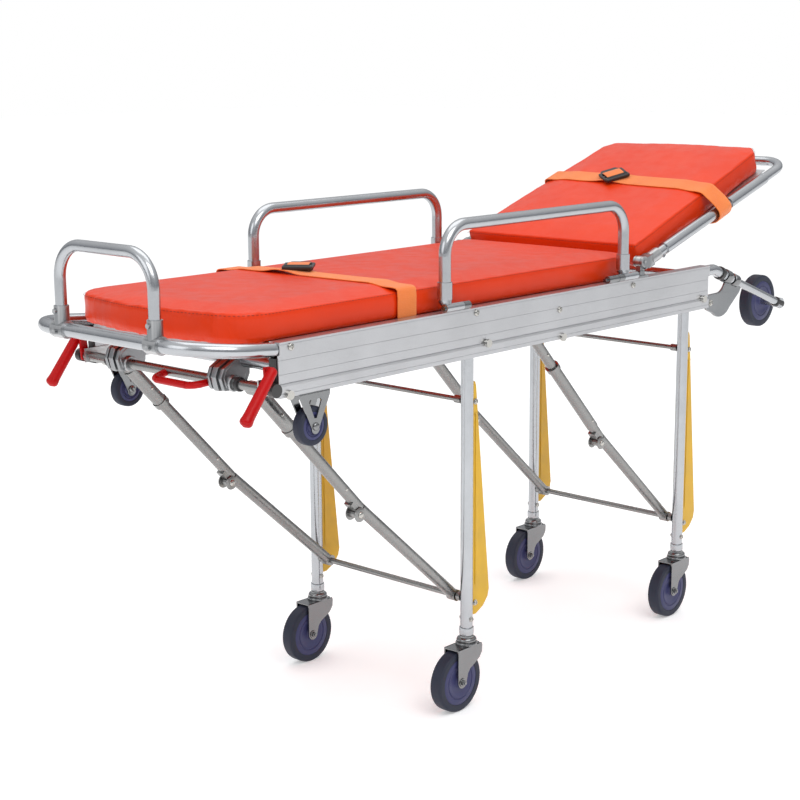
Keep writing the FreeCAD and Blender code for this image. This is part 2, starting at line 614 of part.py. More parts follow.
hinge_blocks = []
for hand, side in SIDES.items():
    start_x, end_x = size("side_guard_start_x"), size("side_guard_end_x")
    sleeve_low, sleeve_high = 844.0, 876.0
    rise = size("side_guard_top") - sleeve_low
    span = end_x - start_x
    stand_up = Rotation(Z_AXIS, -X_AXIS, -Y_AXIS, "XYZ")
    hoop_foot = at(start_x, side * size("side_guard_y"), sleeve_low)
    hoop = bent_tube([(0, 0), (rise, 0), (rise, -span), (0, -span)], "side_guard_bend", "side_guard_radius",
                     "side_guard_bore", Placement(hoop_foot, stand_up))
    axis_y = side * size("guard_axis_y")
    axis_z = size("guard_axis_z")
    pieces = [hoop]
    for x, low, high in ((start_x, 412.0, 461.5), (end_x, 980.0, 1030.0)):
        y = side * size("side_guard_y")
        pieces.append(bar(14.0, at(x, y, sleeve_low), at(x, y, sleeve_high)))
        pieces.append(cone(7.5, 13.5, at(x, axis_y - side * 3, axis_z), at(x, y, sleeve_low)))
        pieces.append(bar("guard_barrel_radius", at(low, axis_y, axis_z), at(high, axis_y, axis_z)))
    bore = bar("guard_pin_radius + 0.05", at(400, axis_y, axis_z), at(1040, axis_y, axis_z))
    node(f"side_guard_{hand}", cut(fuse(pieces), [bore]))
    for low, high, pin_low, pin_high in ((462.0, 480.0, 409.0, 480.0), (961.0, 979.5, 961.0, 1033.0)):
        base = side_box(high - low + 10, 7.0, low - (0 if low < 700 else 10), RAIL_TOP, 240.0, 262.0, side)
        lug = side_box(high - low, 9.0, low, RAIL_TOP + 2.5, 252.0, size("guard_axis_y"), side)
        ring = bar("guard_barrel_radius", at(low, axis_y, axis_z), at(high, axis_y, axis_z))
        pin = bar("guard_pin_radius", at(pin_low, axis_y, axis_z), at(pin_high, axis_y, axis_z))
        hinge_blocks.append(fuse([base, lug, ring, pin]))
    # A latch barrel sits on the fixed block at each guard's head end.
    latch = fuse([bar("guard_barrel_radius - 0.5", at(926, axis_y, axis_z), at(961, axis_y, axis_z)),
                  bar(3.0, at(918, axis_y, axis_z), at(927, axis_y, axis_z))])
    hinge_blocks.append(latch)
node("guard_hinge_blocks", fuse(hinge_blocks))

# ---------------------------------------------------------------- backrest

BACK_AXIS = at(size("back_axis_x"), 0, size("back_axis_z"))
back_turn = Rotation(Y_AXIS, -size("back_angle"))
cushion_turn = Rotation(Y_AXIS, -size("back_angle") - size("back_cushion_tilt"))
TUBE_DROP = -7.0


def back_point(along, y, rise, turn=back_turn):
    """A point given in the backrest's own frame: along it, across it and square to it."""
    return BACK_AXIS + turn.multVec(Vector(along, y, rise))


EYE_RADIUS, EYE_HALF, CHEEK_IN, CHEEK_OUT = 12.0, 5.5, 6.2, 11.5
BACK_PIN_RADIUS = 4.0
posts, elbows = [], []
for side in SIDES.values():
    x, y, z = size("back_axis_x"), side * size("back_y"), size("back_axis_z")
    axis_foot = at(x, y, RAIL_TOP)
    foot = side_box(34.0, 4.0, x - 17, RAIL_TOP, 240.0, 259.0, side)
    shaft = bar(8.5, axis_foot + Z_AXIS * 3, at(x, y, z - 18.5))
    neck = box(16.0, 2 * EYE_HALF, 18.0, at(x - 8, y - EYE_HALF, z - 22))
    eye = bar(EYE_RADIUS, at(x, y - EYE_HALF - 0.1, z), at(x, y + EYE_HALF + 0.1, z))
    eye_bore = bar(BACK_PIN_RADIUS + 0.05, at(x, y - 8, z), at(x, y + 8, z))
    posts.append(cut(fuse([foot, shaft, neck, eye]), [eye_bore]))
    bridge = box(22.0, 2 * CHEEK_OUT, 25.0, Vector(12.6, y - CHEEK_OUT, -20.0))
    bridge.Placement = Placement(BACK_AXIS, back_turn).multiply(bridge.Placement)
    solids = [bridge]
    for s in (-1, 1):
        solids.append(bar(EYE_RADIUS, at(x, y + s * CHEEK_IN, z), at(x, y + s * CHEEK_OUT, z)))
        arm = box(18.0, CHEEK_OUT - CHEEK_IN, 22.0, Vector(0.0, y + min(s * CHEEK_IN, s * CHEEK_OUT), -17.0))
        arm.Placement = Placement(BACK_AXIS, back_turn).multiply(arm.Placement)
        solids.append(arm)
    solids.append(bar("back_sleeve_radius + 0.5", back_point(30, y, TUBE_DROP), back_point(62, y, TUBE_DROP)))
    clearance = bar(EYE_RADIUS + 0.6, at(x, y - CHEEK_IN, z), at(x, y + CHEEK_IN, z))
    socket = bar("back_tube_radius + 0.05", back_point(34, y, TUBE_DROP), back_point(63, y, TUBE_DROP))
    pin = bar(BACK_PIN_RADIUS, at(x, y - 13, z), at(x, y + 13, z))
    elbows.append(fuse([cut(fuse(solids), [clearance, socket]), pin]))
node("backrest_posts", fuse(posts))
node("backrest_elbows", fuse(elbows))

tube_start = 36.0
back_width = 2 * size("back_y")
reach = size("back_reach") - tube_start
frame_loop = bent_tube([(0, 0), (reach, 0), (reach, back_width), (0, back_width)], "back_bend",
                       "back_tube_radius", "back_tube_bore",
                       Placement(back_point(tube_start, -size("back_y"), TUBE_DROP), back_turn))
along, drop = size("strut_along"), size("strut_drop")
sleeves, cores, hangers = [], [], []
for side in SIDES.values():
    y = side * size("back_y")
    for low, high in ((90.0, 312.0), (360.0, 520.0)):
        ends = back_point(low, y, TUBE_DROP), back_point(high, y, TUBE_DROP)
        sleeves.append(bar("back_sleeve_radius", *ends))
    cores.append(bar("back_tube_bore", back_point(80, y, TUBE_DROP), back_point(530, y, TUBE_DROP)))
    ends = back_point(along, side * 230, drop - 1), back_point(along, side * 245, TUBE_DROP - 5)
    hangers.append(bar(5.0, *ends))
strut_bar = bar("strut_bar_radius", back_point(along, -231, drop), back_point(along, 231, drop))
node("backrest_frame", fuse([cut(fuse([frame_loop] + sleeves), cores), strut_bar] + hangers))

CUSHION_TOP = 34.0
cushion_low = CUSHION_TOP - size("back_cushion_thickness")
# The board under the pad has a slot for the eye of the strut's rod.
BOARD = 2.0
board = cut(box(535.0, 452.0, BOARD, Vector(34.0, -226.0, cushion_low - BOARD - SOFT_GAP)),
            [box(44.0, 22.0, 3 * BOARD, Vector(along - 22, -11.0, cushion_low - 2 * BOARD))])
board.Placement = Placement(BACK_AXIS, cushion_turn)
node("backrest_deck", board)

back_pad = [(12.0, -234.0), (300.0, -226.0), (555.0, -218.0), (572.0, -208.0), (583.0, -150.0), (588.0, 0.0),
            (583.0, 150.0), (572.0, 208.0), (555.0, 218.0), (300.0, 226.0), (12.0, 234.0)]
pad_middle = back_point(0, 0, CUSHION_TOP - size("back_cushion_thickness") / 2, cushion_turn)
node("backrest_cushion", plate(back_pad, "back_cushion_thickness",
                               Placement(pad_middle, cushion_turn), "XY_Plane"))

BACK_STRAP, BACK_PAD_HALF = 350.0, 227.4
back_strap_top = CUSHION_TOP + SOFT_GAP + size("strap_thickness")
node("backrest_strap", strap_over(BACK_PAD_HALF, CUSHION_TOP - 11.7, back_strap_top,
                                  Placement(back_point(BACK_STRAP, 0, 0, cushion_turn), cushion_turn)))
buckle_place = back_point(BACK_STRAP, 20, back_strap_top + buckle_lift, cushion_turn)
node("backrest_buckle", buckle(Placement(buckle_place, cushion_turn)))

# ---------------------------------------------------------------- backrest strut

STRUT_LOW = at(size("strut_x"), 0, size("strut_z"))
STRUT_HIGH = back_point(along, 0, drop)
strut_axis = (STRUT_HIGH - STRUT_LOW).normalize()
barrel = bar("strut_radius", STRUT_LOW + strut_axis * 9, STRUT_LOW + strut_axis * 112)
barrel_eye = bar(10.0, STRUT_LOW - Y_AXIS * 9.7, STRUT_LOW + Y_AXIS * 9.7)
barrel_hole = bar("strut_rod_radius + 0.05", STRUT_LOW + strut_axis * 28, STRUT_LOW + strut_axis * 113)
strut_pin = bar(STRUT_PIN_RADIUS, STRUT_LOW - Y_AXIS * 16, STRUT_LOW + Y_AXIS * 16)
node("strut_cylinder", fuse([cut(fuse([barrel, barrel_eye]), [barrel_hole]), strut_pin]))
# The rod's eye is wide enough for the cross bar's path to stray inside it through the whole range.
rod_eye = bar(12.1, STRUT_HIGH - Y_AXIS * 7, STRUT_HIGH + Y_AXIS * 7)
rod = bar("strut_rod_radius", STRUT_HIGH - strut_axis * 106, STRUT_HIGH)
eye_bore = bar(10.6, STRUT_HIGH - Y_AXIS * 12, STRUT_HIGH + Y_AXIS * 12)
node("strut_rod", cut(fuse([rod, rod_eye]), [eye_bore]))

# ---------------------------------------------------------------- loading wheels

ARM_Y, ARM_RADIUS, SLEEVE_LENGTH, TO_KNEE = 249.0, 9.0, 80.0, 34.0
GUSSET = [(1332.5, 758.0), (1332.5, 728.0), (1345.0, 708.0), (1375.0, 694.0), (1415.0, 694.0),
          (1455.0, 712.0), (1484.0, 742.0), (1495.0, 762.0), (1440.0, 776.0), (1417.0, 785.0),
          (1410.0, 766.0), (1385.0, 752.0), (1350.0, 750.0)]
arms, gussets = [], []
hub_x, hub_z = size("loading_wheel_x"), size("loading_wheel_z")
for hand, side in SIDES.items():
    y, hub_y = side * ARM_Y, side * size("loading_wheel_y")
    root, end = at(size("rail_length"), y, size("arm_root_z")), at(hub_x, y, hub_z)
    knee = root + X_AXIS * TO_KNEE
    slope = (end - knee).normalize()
    elbow_end = knee + slope * SLEEVE_LENGTH
    elbow = bent_tube([(0, 0), (TO_KNEE, 0), (TO_KNEE + slope.x * SLEEVE_LENGTH, slope.z * SLEEVE_LENGTH)],
                      "arm_bend", "arm_elbow_radius", None, Placement(root, Rotation(X_AXIS, 90)))
    arms.append(fuse([elbow,
                      bar(ARM_RADIUS, elbow_end - slope * 5, end),
                      bar(12.0, end - Y_AXIS * 10, end + Y_AXIS * 10),
                      bar("axle_radius", at(hub_x, side * 174, hub_z), at(hub_x, side * 250, hub_z)),
                      bar(9.0, at(hub_x, hub_y + side * 14.5, hub_z), end),
                      bar(9.0, at(hub_x, hub_y - side * 14.5, hub_z), at(hub_x, hub_y - side * 19, hub_z))]))
    fin = plate(GUSSET, 6.0, Placement(at(0, y, 0), Rotation()))
    gussets.append(cut(fin, [bar(ARM_RADIUS + 0.1, elbow_end - slope * 6, end),
                             bar("arm_elbow_radius + 0.1", knee - slope * 9, elbow_end),
                             bar("arm_elbow_radius + 0.1", root, knee)]))
    wheel(hub_x, hub_y, hub_z, f"loading_wheel_{hand}")
node("loading_wheel_arms", fuse(arms))
node("loading_wheel_gussets", fuse(gussets))

# ---------------------------------------------------------------- release controls

rx, rz = size("release_x"), size("release_z")
node("release_shaft", bar("release_radius", at(rx, -256, rz), at(rx, 256, rz)))
node("release_end_caps", fuse([across(12.0, rx, rz, 256.0, 268.0, side) for side in SIDES.values()]))

housings, bearings, handles = [], [], []
for side in SIDES.values():
    casting = plate([(-30.0, -14.0), (4.0, -16.0), (36.0, -8.0), (44.0, 8.0), (44.0, 42.0), (14.0, 46.0),
                     (-24.0, 30.0), (-30.0, 16.0)], 40.0, Placement(at(rx, side * 140, rz), Rotation()))
    housings.append(cut(casting, [across(size("release_radius") + 0.05, rx, rz, 110, 170, side),
                                  across(SPREADER_RADIUS + 0.05, SPREADER_X, SPREADER_Z, 110, 170, side)]))
    tab = side_box(66.0, 26.0, -26.0, 730.0, 234.0, 237.0, side)
    bearings.append(cut(tab, [across(size("release_radius") + 0.05, rx, rz, 230, 240, side),
                              across(12, ROOT_X, ROOT_Z, 230, 240, side)]))
    top, low = at(-22, side * size("grip_y"), 772), at(-80, side * size("grip_y"), 699)
    lever = plate([(-11.0, -8.0), (6.0, -8.0), (9.5, -4.0), (9.5, 4.0), (6.0, 10.0), (2.0, 40.0),
                   (-16.0, 40.0)], 5.0, Placement(at(rx, side * 250.8, rz), Rotation()))
    grip = fuse([bar("grip_radius", top, low), ball("grip_radius", low), ball("grip_radius", top)])
    shaft_hole = bar("release_radius", at(rx, side * 240, rz), at(rx, side * 262, rz))
    handles.append(fuse([cut(lever, [shaft_hole]), grip]))
node("release_housings", fuse(housings))
node("release_bearings", fuse(bearings))
node("side_release_handles", fuse(handles))

grip_low, grip_high = -111.0, 11.0
bow = bent_tube([(0, 0), (40, 0), (40, grip_high - grip_low), (0, grip_high - grip_low)], "middle_bend",
                "middle_grip_radius", None,
                Placement(at(rx - 9.3, grip_high, rz - 1), Rotation(Y_AXIS, -8) * Rotation(Z_AXIS, 180)))
node("middle_release_grip", bow)

# ---------------------------------------------------------------- checks and files

doc.recompute()
for item in doc.Objects:
    if "Invalid" in item.State or "Error" in item.State:
        raise SystemExit(f"{item.Label} did not compute: {item.State}")
if len({part.Label for part in nodes}) != len(nodes):
    raise SystemExit("two sub-parts share a label")
os.makedirs("parts", exist_ok=True)
for part in nodes:
    shape = part.Shape
    if shape.isNull() or not shape.isValid() or not shape.Solids:
        raise SystemExit(f"{part.Label} has no valid solid")
    shape.exportStep(f"parts/{part.Label}.step")
print(len(nodes), "sub-parts")
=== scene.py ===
import json
import math

import bmesh
import bpy
import numpy as np
from mathutils import Matrix, Vector
from mathutils.bvhtree import BVHTree


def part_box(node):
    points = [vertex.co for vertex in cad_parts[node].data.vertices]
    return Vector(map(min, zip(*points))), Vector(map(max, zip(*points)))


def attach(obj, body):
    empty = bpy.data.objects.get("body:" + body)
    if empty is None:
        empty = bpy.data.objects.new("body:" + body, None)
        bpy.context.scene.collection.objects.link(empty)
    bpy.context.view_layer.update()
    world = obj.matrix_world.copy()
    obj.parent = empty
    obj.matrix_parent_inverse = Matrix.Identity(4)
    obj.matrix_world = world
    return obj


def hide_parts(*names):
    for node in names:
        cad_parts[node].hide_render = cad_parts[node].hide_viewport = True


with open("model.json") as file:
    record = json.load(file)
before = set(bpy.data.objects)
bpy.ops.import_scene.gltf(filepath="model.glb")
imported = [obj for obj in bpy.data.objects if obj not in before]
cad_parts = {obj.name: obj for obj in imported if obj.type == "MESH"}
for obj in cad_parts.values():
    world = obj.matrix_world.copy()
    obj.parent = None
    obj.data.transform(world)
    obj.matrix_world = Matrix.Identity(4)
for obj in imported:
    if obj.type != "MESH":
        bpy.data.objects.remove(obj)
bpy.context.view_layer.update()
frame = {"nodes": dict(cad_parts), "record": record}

MM = 0.001
RAIL_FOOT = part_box("side_rail_left")[0].x
SIDES = {"left": -1, "right": 1}
X_AXIS, Y_AXIS, Z_AXIS = Vector((1, 0, 0)), Vector((0, 1, 0)), Vector((0, 0, 1))


def at(x, y, z):
    """A point from millimetres: x along the rails from their foot end, y across, z up."""
    return Vector((RAIL_FOOT + x * MM, y * MM, z * MM))


# ---------------------------------------------------------------- materials

class Surface:
    """A node material that is built up one layer at a time."""

    def __init__(self, name, colour, roughness, metallic=0.0, **sockets):
        self.material = bpy.data.materials.new(name)
        self.material.use_nodes = True
        self.tree = self.material.node_tree
        self.shader = self.tree.nodes["Principled BSDF"]
        self.colour = (*colour, 1.0)
        self.roughness = roughness
        self.shader.inputs["Base Color"].default_value = self.colour
        self.shader.inputs["Roughness"].default_value = roughness
        self.shader.inputs["Metallic"].default_value = metallic
        for socket, value in sockets.items():
            self.shader.inputs[socket.replace("_", " ")].default_value = value
        self.place = self.tree.nodes.new("ShaderNodeTexCoord")
        self.height = None

    def node(self, kind, **inputs):
        made = self.tree.nodes.new(kind)
        for socket, value in inputs.items():
            made.inputs[socket].default_value = value
        return made

    def link(self, source, target):
        self.tree.links.new(source, target)

    def noise(self, scale, stretch=(1, 1, 1), detail=3.0, coordinates="Object"):
        mapping = self.node("ShaderNodeMapping", Scale=stretch)
        self.link(self.place.outputs[coordinates], mapping.inputs["Vector"])
        texture = self.node("ShaderNodeTexNoise", Scale=scale, Detail=detail)
        self.link(mapping.outputs["Vector"], texture.inputs["Vector"])
        return texture.outputs["Fac"]

    def ramp(self, value, low, high, start=0.35, end=0.65):
        """A value turned into the range from low to high."""
        ranged = self.node("ShaderNodeMapRange")
        self.link(value, ranged.inputs["Value"])
        for socket, number in zip(("From Min", "From Max", "To Min", "To Max"), (start, end, low, high)):
            ranged.inputs[socket].default_value = number
        return ranged.outputs["Result"]

    def blend_colour(self, value, other, low=0.0, high=1.0, start=0.35, end=0.65):
        """Mixes another colour in where the value is high."""
        mix = self.node("ShaderNodeMix")
        mix.data_type = "RGBA"
        self.link(self.ramp(value, low, high, start, end), mix.inputs["Factor"])
        current = self.shader.inputs["Base Color"]
        if current.is_linked:
            self.link(current.links[0].from_socket, mix.inputs["A"])
        else:
            mix.inputs["A"].default_value = self.colour
        mix.inputs["B"].default_value = (*other, 1.0)
        self.link(mix.outputs["Result"], current)
        return self

    def vary_roughness(self, value, spread):
        self.link(self.ramp(value, self.roughness - spread, self.roughness + spread),
                  self.shader.inputs["Roughness"])
        return self

    def bump(self, value, depth):
        """Adds a height, in metres, to the surface."""
        bump = self.node("ShaderNodeBump", Strength=1.0, Distance=depth)
        self.link(value, bump.inputs["Height"])
        if self.height:
            self.link(self.height, bump.inputs["Normal"])
        self.height = bump.outputs["Normal"]
        self.link(self.height, self.shader.inputs["Normal"])
        return self

    def worn_edges(self, other, amount=0.6):
        """Lets another colour through along sharp edges."""
        geometry = self.node("ShaderNodeNewGeometry")
        return self.blend_colour(geometry.outputs["Pointiness"], other, 0.0, amount, 0.52, 0.6)


def metal(name, colour, roughness, brushed=(1, 60, 60), streak=0.06, depth=0.00002):
    """Bare metal, brushed along one direction, with faint handling marks."""
    surface = Surface(name, colour, roughness, 1.0)
    lines = surface.noise(40, brushed, 2.0)
    surface.vary_roughness(lines, streak)
    surface.bump(lines, depth)
    clouds = surface.noise(9, (1, 1, 1), 4.0)
    surface.blend_colour(clouds, [c * 0.86 for c in colour], 0.0, 0.6)
    return surface


def moulded(name, colour, roughness, grain=900, depth=0.00004, **sockets):
    """Moulded plastic or rubber with a fine grain and slightly uneven colour."""
    surface = Surface(name, colour, roughness, **sockets)
    surface.bump(surface.noise(grain, detail=2.0), depth)
    clouds = surface.noise(25, detail=4.0)
    surface.vary_roughness(clouds, 0.08)
    surface.blend_colour(clouds, [min(1.0, c * 1.25 + 0.004) for c in colour], 0.0, 0.5)
    return surface


def vinyl():
    """Coated fabric: a thin leather grain over soft, slow unevenness."""
    surface = Surface("red_vinyl", (0.74, 0.040, 0.002), 0.36, Coat_Weight=0.10, Coat_Roughness=0.15,
                      Specular_IOR_Level=0.22)
    grain = surface.node("ShaderNodeTexVoronoi", Scale=620)
    grain.feature = "DISTANCE_TO_EDGE"
    surface.link(surface.place.outputs["Object"], grain.inputs["Vector"])
    surface.bump(surface.ramp(grain.outputs["Distance"], 0.0, 1.0, 0.0, 0.25), 0.00005)
    surface.bump(surface.noise(18, detail=3.0), 0.0009)
    surface.blend_colour(surface.noise(7, detail=4.0), (0.66, 0.031, 0.002), 0.0, 0.5)
    surface.vary_roughness(surface.noise(30, detail=4.0), 0.06)
    return surface


def webbing_weave():
    """Woven strap: ribs across the width with a finer cross thread, from the strap's own UV."""
    surface = Surface("orange_webbing", (0.86, 0.19, 0.018), 0.72, Sheen_Weight=0.25)
    ribs = []
    for scale, direction in ((160, "X"), (90, "Y")):
        wave = surface.node("ShaderNodeTexWave", Scale=scale, Distortion=0.4)
        wave.bands_direction = direction
        surface.link(surface.place.outputs["UV"], wave.inputs["Vector"])
        ribs.append(wave.outputs["Fac"])
    surface.bump(ribs[0], 0.0003)
    surface.bump(ribs[1], 0.0002)
    surface.blend_colour(ribs[0], (0.62, 0.11, 0.01), 0.0, 0.35, 0.1, 0.9)
    surface.blend_colour(surface.noise(14, detail=4.0), (0.92, 0.25, 0.035), 0.0, 0.5)
    return surface


SURFACES = {
    "rail_aluminium": metal("rail_aluminium", (0.55, 0.555, 0.57), 0.36, (1, 90, 90), 0.05),
    "tube_aluminium": metal("tube_aluminium", (0.47, 0.485, 0.505), 0.23, (2, 2, 2), 0.03, 0.000004),
    "brace_steel": metal("brace_steel", (0.30, 0.30, 0.295), 0.30, (3, 3, 3), 0.06, 0.000008),
    "zinc_plate": metal("zinc_plate", (0.25, 0.255, 0.26), 0.20, (1, 1, 1), 0.06, 0.000004),
    "steel_bolt": metal("steel_bolt", (0.52, 0.51, 0.48), 0.22, (1, 1, 1), 0.05, 0.000003),
    "grey_casting": metal("grey_casting", (0.28, 0.29, 0.30), 0.36, (10, 10, 10), 0.06, 0.00003),
    "deck_sheet": metal("deck_sheet", (0.6, 0.61, 0.62), 0.45, (1, 30, 30), 0.05),
    "black_plastic": moulded("black_plastic", (0.012, 0.012, 0.013), 0.38),
    "red_grip": moulded("red_grip", (0.42, 0.002, 0.003), 0.32, 500, 0.00003, Specular_IOR_Level=0.2),
    "yellow_plastic": moulded("yellow_plastic", (0.62, 0.36, 0.012), 0.42, 300, 0.00005),
    "tread_rubber": moulded("tread_rubber", (0.020, 0.024, 0.042), 0.55, 700, Specular_IOR_Level=0.3),
    "hub_plastic": moulded("hub_plastic", (0.038, 0.040, 0.115), 0.42, 700, 0.00003, Specular_IOR_Level=0.35),
    "red_vinyl": vinyl(),
    "dark_thread": moulded("dark_thread", (0.10, 0.008, 0.004), 0.8, 900, 0.00002),
    "orange_webbing": webbing_weave(),
}
SURFACES["yellow_plastic"].worn_edges((0.75, 0.5, 0.08), 0.5)
SURFACES["grey_casting"].worn_edges((0.75, 0.75, 0.75), 0.5)
SURFACES["black_plastic"].worn_edges((0.05, 0.05, 0.05), 0.5)


def paint(obj, slot):
    obj.data.materials.clear()
    obj.data.materials.append(SURFACES[slot].material)


for entry in frame["record"]["subparts"]:
    paint(frame["nodes"][entry["node"]], entry["material_slot"])


# ---------------------------------------------------------------- mesh helpers

def place(name, mesh, body, slot, *replaced, smooth=40.0):
    """Puts a finished mesh, already in the row frame, on its body."""
    obj = bpy.data.objects.new(name, mesh)
    bpy.context.scene.collection.objects.link(obj)
    mesh.shade_smooth()
    mesh.set_sharp_from_angle(angle=math.radians(smooth))
    paint(obj, slot)
    if replaced:
        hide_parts(*replaced)
    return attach(obj, body)


def to_mesh(obj):
    """The mesh an object shows with its modifiers applied; the object itself is removed."""
    bpy.context.view_layer.update()
    mesh = bpy.data.meshes.new_from_object(obj.evaluated_get(bpy.context.evaluated_depsgraph_get()))
    bpy.data.objects.remove(obj)
    return mesh


def link_new(name, data):
    obj = bpy.data.objects.new(name, data)
    bpy.context.scene.collection.objects.link(obj)
    return obj


def joined(meshes):
    """Several meshes as one."""
    bm = bmesh.new()
    for mesh in meshes:
        bm.from_mesh(mesh)
        bpy.data.meshes.remove(mesh)
    return finished(bm, "joined")


def moved(mesh, matrix):
    mesh.transform(matrix)
    if matrix.determinant() < 0:
        mesh.flip_normals()
    return mesh


def frame_at(origin, axis, up=None):
    """A matrix whose local Z runs along axis, at origin; local Y leans towards up."""
    z = Vector(axis).normalized()
    hint = Vector(up) if up else (X_AXIS if abs(z.x) < 0.9 else Y_AXIS)
    x = hint.cross(z).normalized()
    y = z.cross(x)
    matrix = Matrix((x, y, z)).transposed().to_4x4()
    matrix.translation = origin
    return matrix


def ring(bm, point_at, segments):
    """A loop of vertices, one for each step of a full turn."""
    return [bm.verts.new(point_at(2 * math.pi * step / segments)) for step in range(segments)]


def bridge(bm, loops):
    """Quads between each loop of vertices and the next."""
    for low, high in zip(loops, loops[1:]):
        for step in range(len(low)):
            following = (step + 1) % len(low)
            bm.faces.new((low[step], low[following], high[following], high[step]))


def cap_ends(bm, loops):
    bm.faces.new(loops[0][::-1])
    bm.faces.new(loops[-1])


def finished(bm, name):
    mesh = bpy.data.meshes.new(name)
    bm.to_mesh(mesh)
    bm.free()
    return mesh


def turned_rings(bm, profile, segments):
    """A ring of vertices for each (radius, height) point, in millimetres."""
    return [ring(bm, lambda a: (radius * MM * math.cos(a), radius * MM * math.sin(a), height * MM), segments)
            for radius, height in profile]


def lathe(profile, origin, axis, segments=48):
    """A turned solid from (radius, height) points in millimetres, closed at both ends."""
    bm = bmesh.new()
    rings = turned_rings(bm, profile, segments)
    bridge(bm, rings)
    cap_ends(bm, rings)
    return moved(finished(bm, "lathe"), frame_at(origin, axis))


def washer(profile, origin, axis, segments=48):
    """A turned ring from a closed loop of (radius, height) points in millimetres."""
    bm = bmesh.new()
    rings = turned_rings(bm, profile, segments)
    bridge(bm, rings + rings[:1])
    bmesh.ops.recalc_face_normals(bm, faces=bm.faces)
    return moved(finished(bm, "washer"), frame_at(origin, axis))


def softened(radius, height, edge=1.0, steps=3):
    """The profile of a disc of that height with rounded rims."""
    points = []
    for step in range(steps + 1):
        angle = math.pi / 2 * step / steps
        points.append((radius - edge + edge * math.sin(angle), edge - edge * math.cos(angle)))
    for step in range(steps + 1):
        angle = math.pi / 2 * step / steps
        points.append((radius - edge + edge * math.cos(angle), height - edge + edge * math.sin(angle)))
    return points


def rounded_path(corners, radius, steps):
    """A line through the corners, in metres, with each corner turned on an arc."""
    points = [Vector(corners[0])]
    for before, corner, after in zip(corners, corners[1:], corners[2:]):
        arrive = (Vector(corner) - Vector(before)).normalized()
        leave = (Vector(after) - Vector(corner)).normalized()
        half = arrive.angle(leave) / 2
        if half < 1e-3:
            points.append(Vector(corner))
            continue
        reach = radius * math.tan(half)
        inward = (leave - arrive).normalized()
        centre = Vector(corner) + inward * radius / math.cos(half)
        first = Vector(corner) - arrive * reach - centre
        turn = arrive.cross(leave).normalized()
        for step in range(steps + 1):
            points.append(centre + Matrix.Rotation(2 * half * step / steps, 3, turn) @ first)
    points.append(Vector(corners[-1]))
    return points


def sweep(points, radius, segments, scale, flat=1.0):
    """A round bar along a line of points. scale gives each point's share of the radius."""
    bm = bmesh.new()
    rings = []
    side = None
    for index, point in enumerate(points):
        before, after = points[max(index - 1, 0)], points[min(index + 1, len(points) - 1)]
        along = (after - before).normalized()
        if side is None:
            hint = Z_AXIS if abs(along.z) < 0.9 else X_AXIS
            side = (hint - along * hint.dot(along)).normalized()
        side = (side - along * side.dot(along)).normalized()
        other = along.cross(side)
        share = radius * MM * scale[index]
        rings.append(ring(bm, lambda a: point + (side * math.cos(a) + other * flat * math.sin(a)) * share,
                          segments))
    bridge(bm, rings)
    cap_ends(bm, rings)
    return finished(bm, "sweep")


def upright(x, y, z):
    """Puts a plate's own x and y along the trolley's length and height."""
    return Matrix.Translation(at(x, y, z)) @ Matrix.Rotation(math.pi / 2, 4, "X")


def sheet_metal(outlines, thickness, matrix, bevel=0.6, corner=0.0):
    """A flat plate: the first outline less the others, in millimetres, with softened edges.
    It is centred on its local XY plane."""
    curve = bpy.data.curves.new("plate", "CURVE")
    curve.dimensions = "2D"
    curve.fill_mode = "BOTH"
    curve.extrude = (thickness / 2 - bevel) * MM
    curve.bevel_depth = bevel * MM
    curve.bevel_resolution = 2
    curve.offset = -bevel * MM
    for outline in outlines:
        corners = [Vector((x * MM, y * MM, 0)) for x, y in outline]
        if corner:
            closed = corners[-1:] + corners + corners[:1]
            points = []
            for index in range(1, len(closed) - 1):
                points += rounded_path(closed[index - 1:index + 2], corner * MM, 5)[1:-1]
        else:
            points = corners
        spline = curve.splines.new("POLY")
        spline.points.add(len(points) - 1)
        for point, target in zip(points, spline.points):
            target.co = (*point, 1.0)
        spline.use_cyclic_u = True
    return moved(to_mesh(link_new("plate", curve)), matrix)


def block(low, high, bevel, matrix=None):
    """A box from millimetre corners with rounded edges."""
    bm = bmesh.new()
    bmesh.ops.create_cube(bm, size=1.0)
    size = [(b - a) * MM for a, b in zip(low, high)]
    centre = Vector([(a + b) / 2 * MM for a, b in zip(low, high)])
    bmesh.ops.scale(bm, vec=size, verts=bm.verts)
    bmesh.ops.bevel(bm, geom=bm.edges[:], offset=bevel * MM, segments=3, affect="EDGES", profile=0.5)
    bmesh.ops.translate(bm, vec=centre, verts=bm.verts)
    return moved(finished(bm, "block"), matrix or Matrix())


def bolt_head(origin, axis, radius, height, washer_radius=None):
    """A domed cross-recess screw head on an optional washer."""
    profile = []
    if washer_radius:
        profile += [(washer_radius, 0.0), (washer_radius, 1.0), (radius, 1.2)]
        height += 1.2
    start = profile[-1][1] if profile else 0.0
    profile += [(radius, start), (radius, start + 0.5 * (height - start))]
    for step in range(1, 6):
        angle = math.pi / 2 * step / 6
        profile.append((radius * math.cos(angle) ** 0.7,
                        start + (height - start) * (0.5 + 0.5 * math.sin(angle))))
    head = link_new("head", lathe(profile, Vector(), Z_AXIS, 32))
    long, short = radius * 0.62, radius * 0.13
    bars = [block((-a, -b, height - 1.4), (a, b, height + 2), 0.1) for a, b in ((long, short), (short, long))]
    cutter = link_new("cutter", joined(bars))
    recess = head.modifiers.new("recess", "BOOLEAN")
    recess.operation = "DIFFERENCE"
    recess.object = cutter
    recess.use_self = True
    mesh = to_mesh(head)
    bpy.data.objects.remove(cutter)
    return moved(mesh, frame_at(origin, axis))


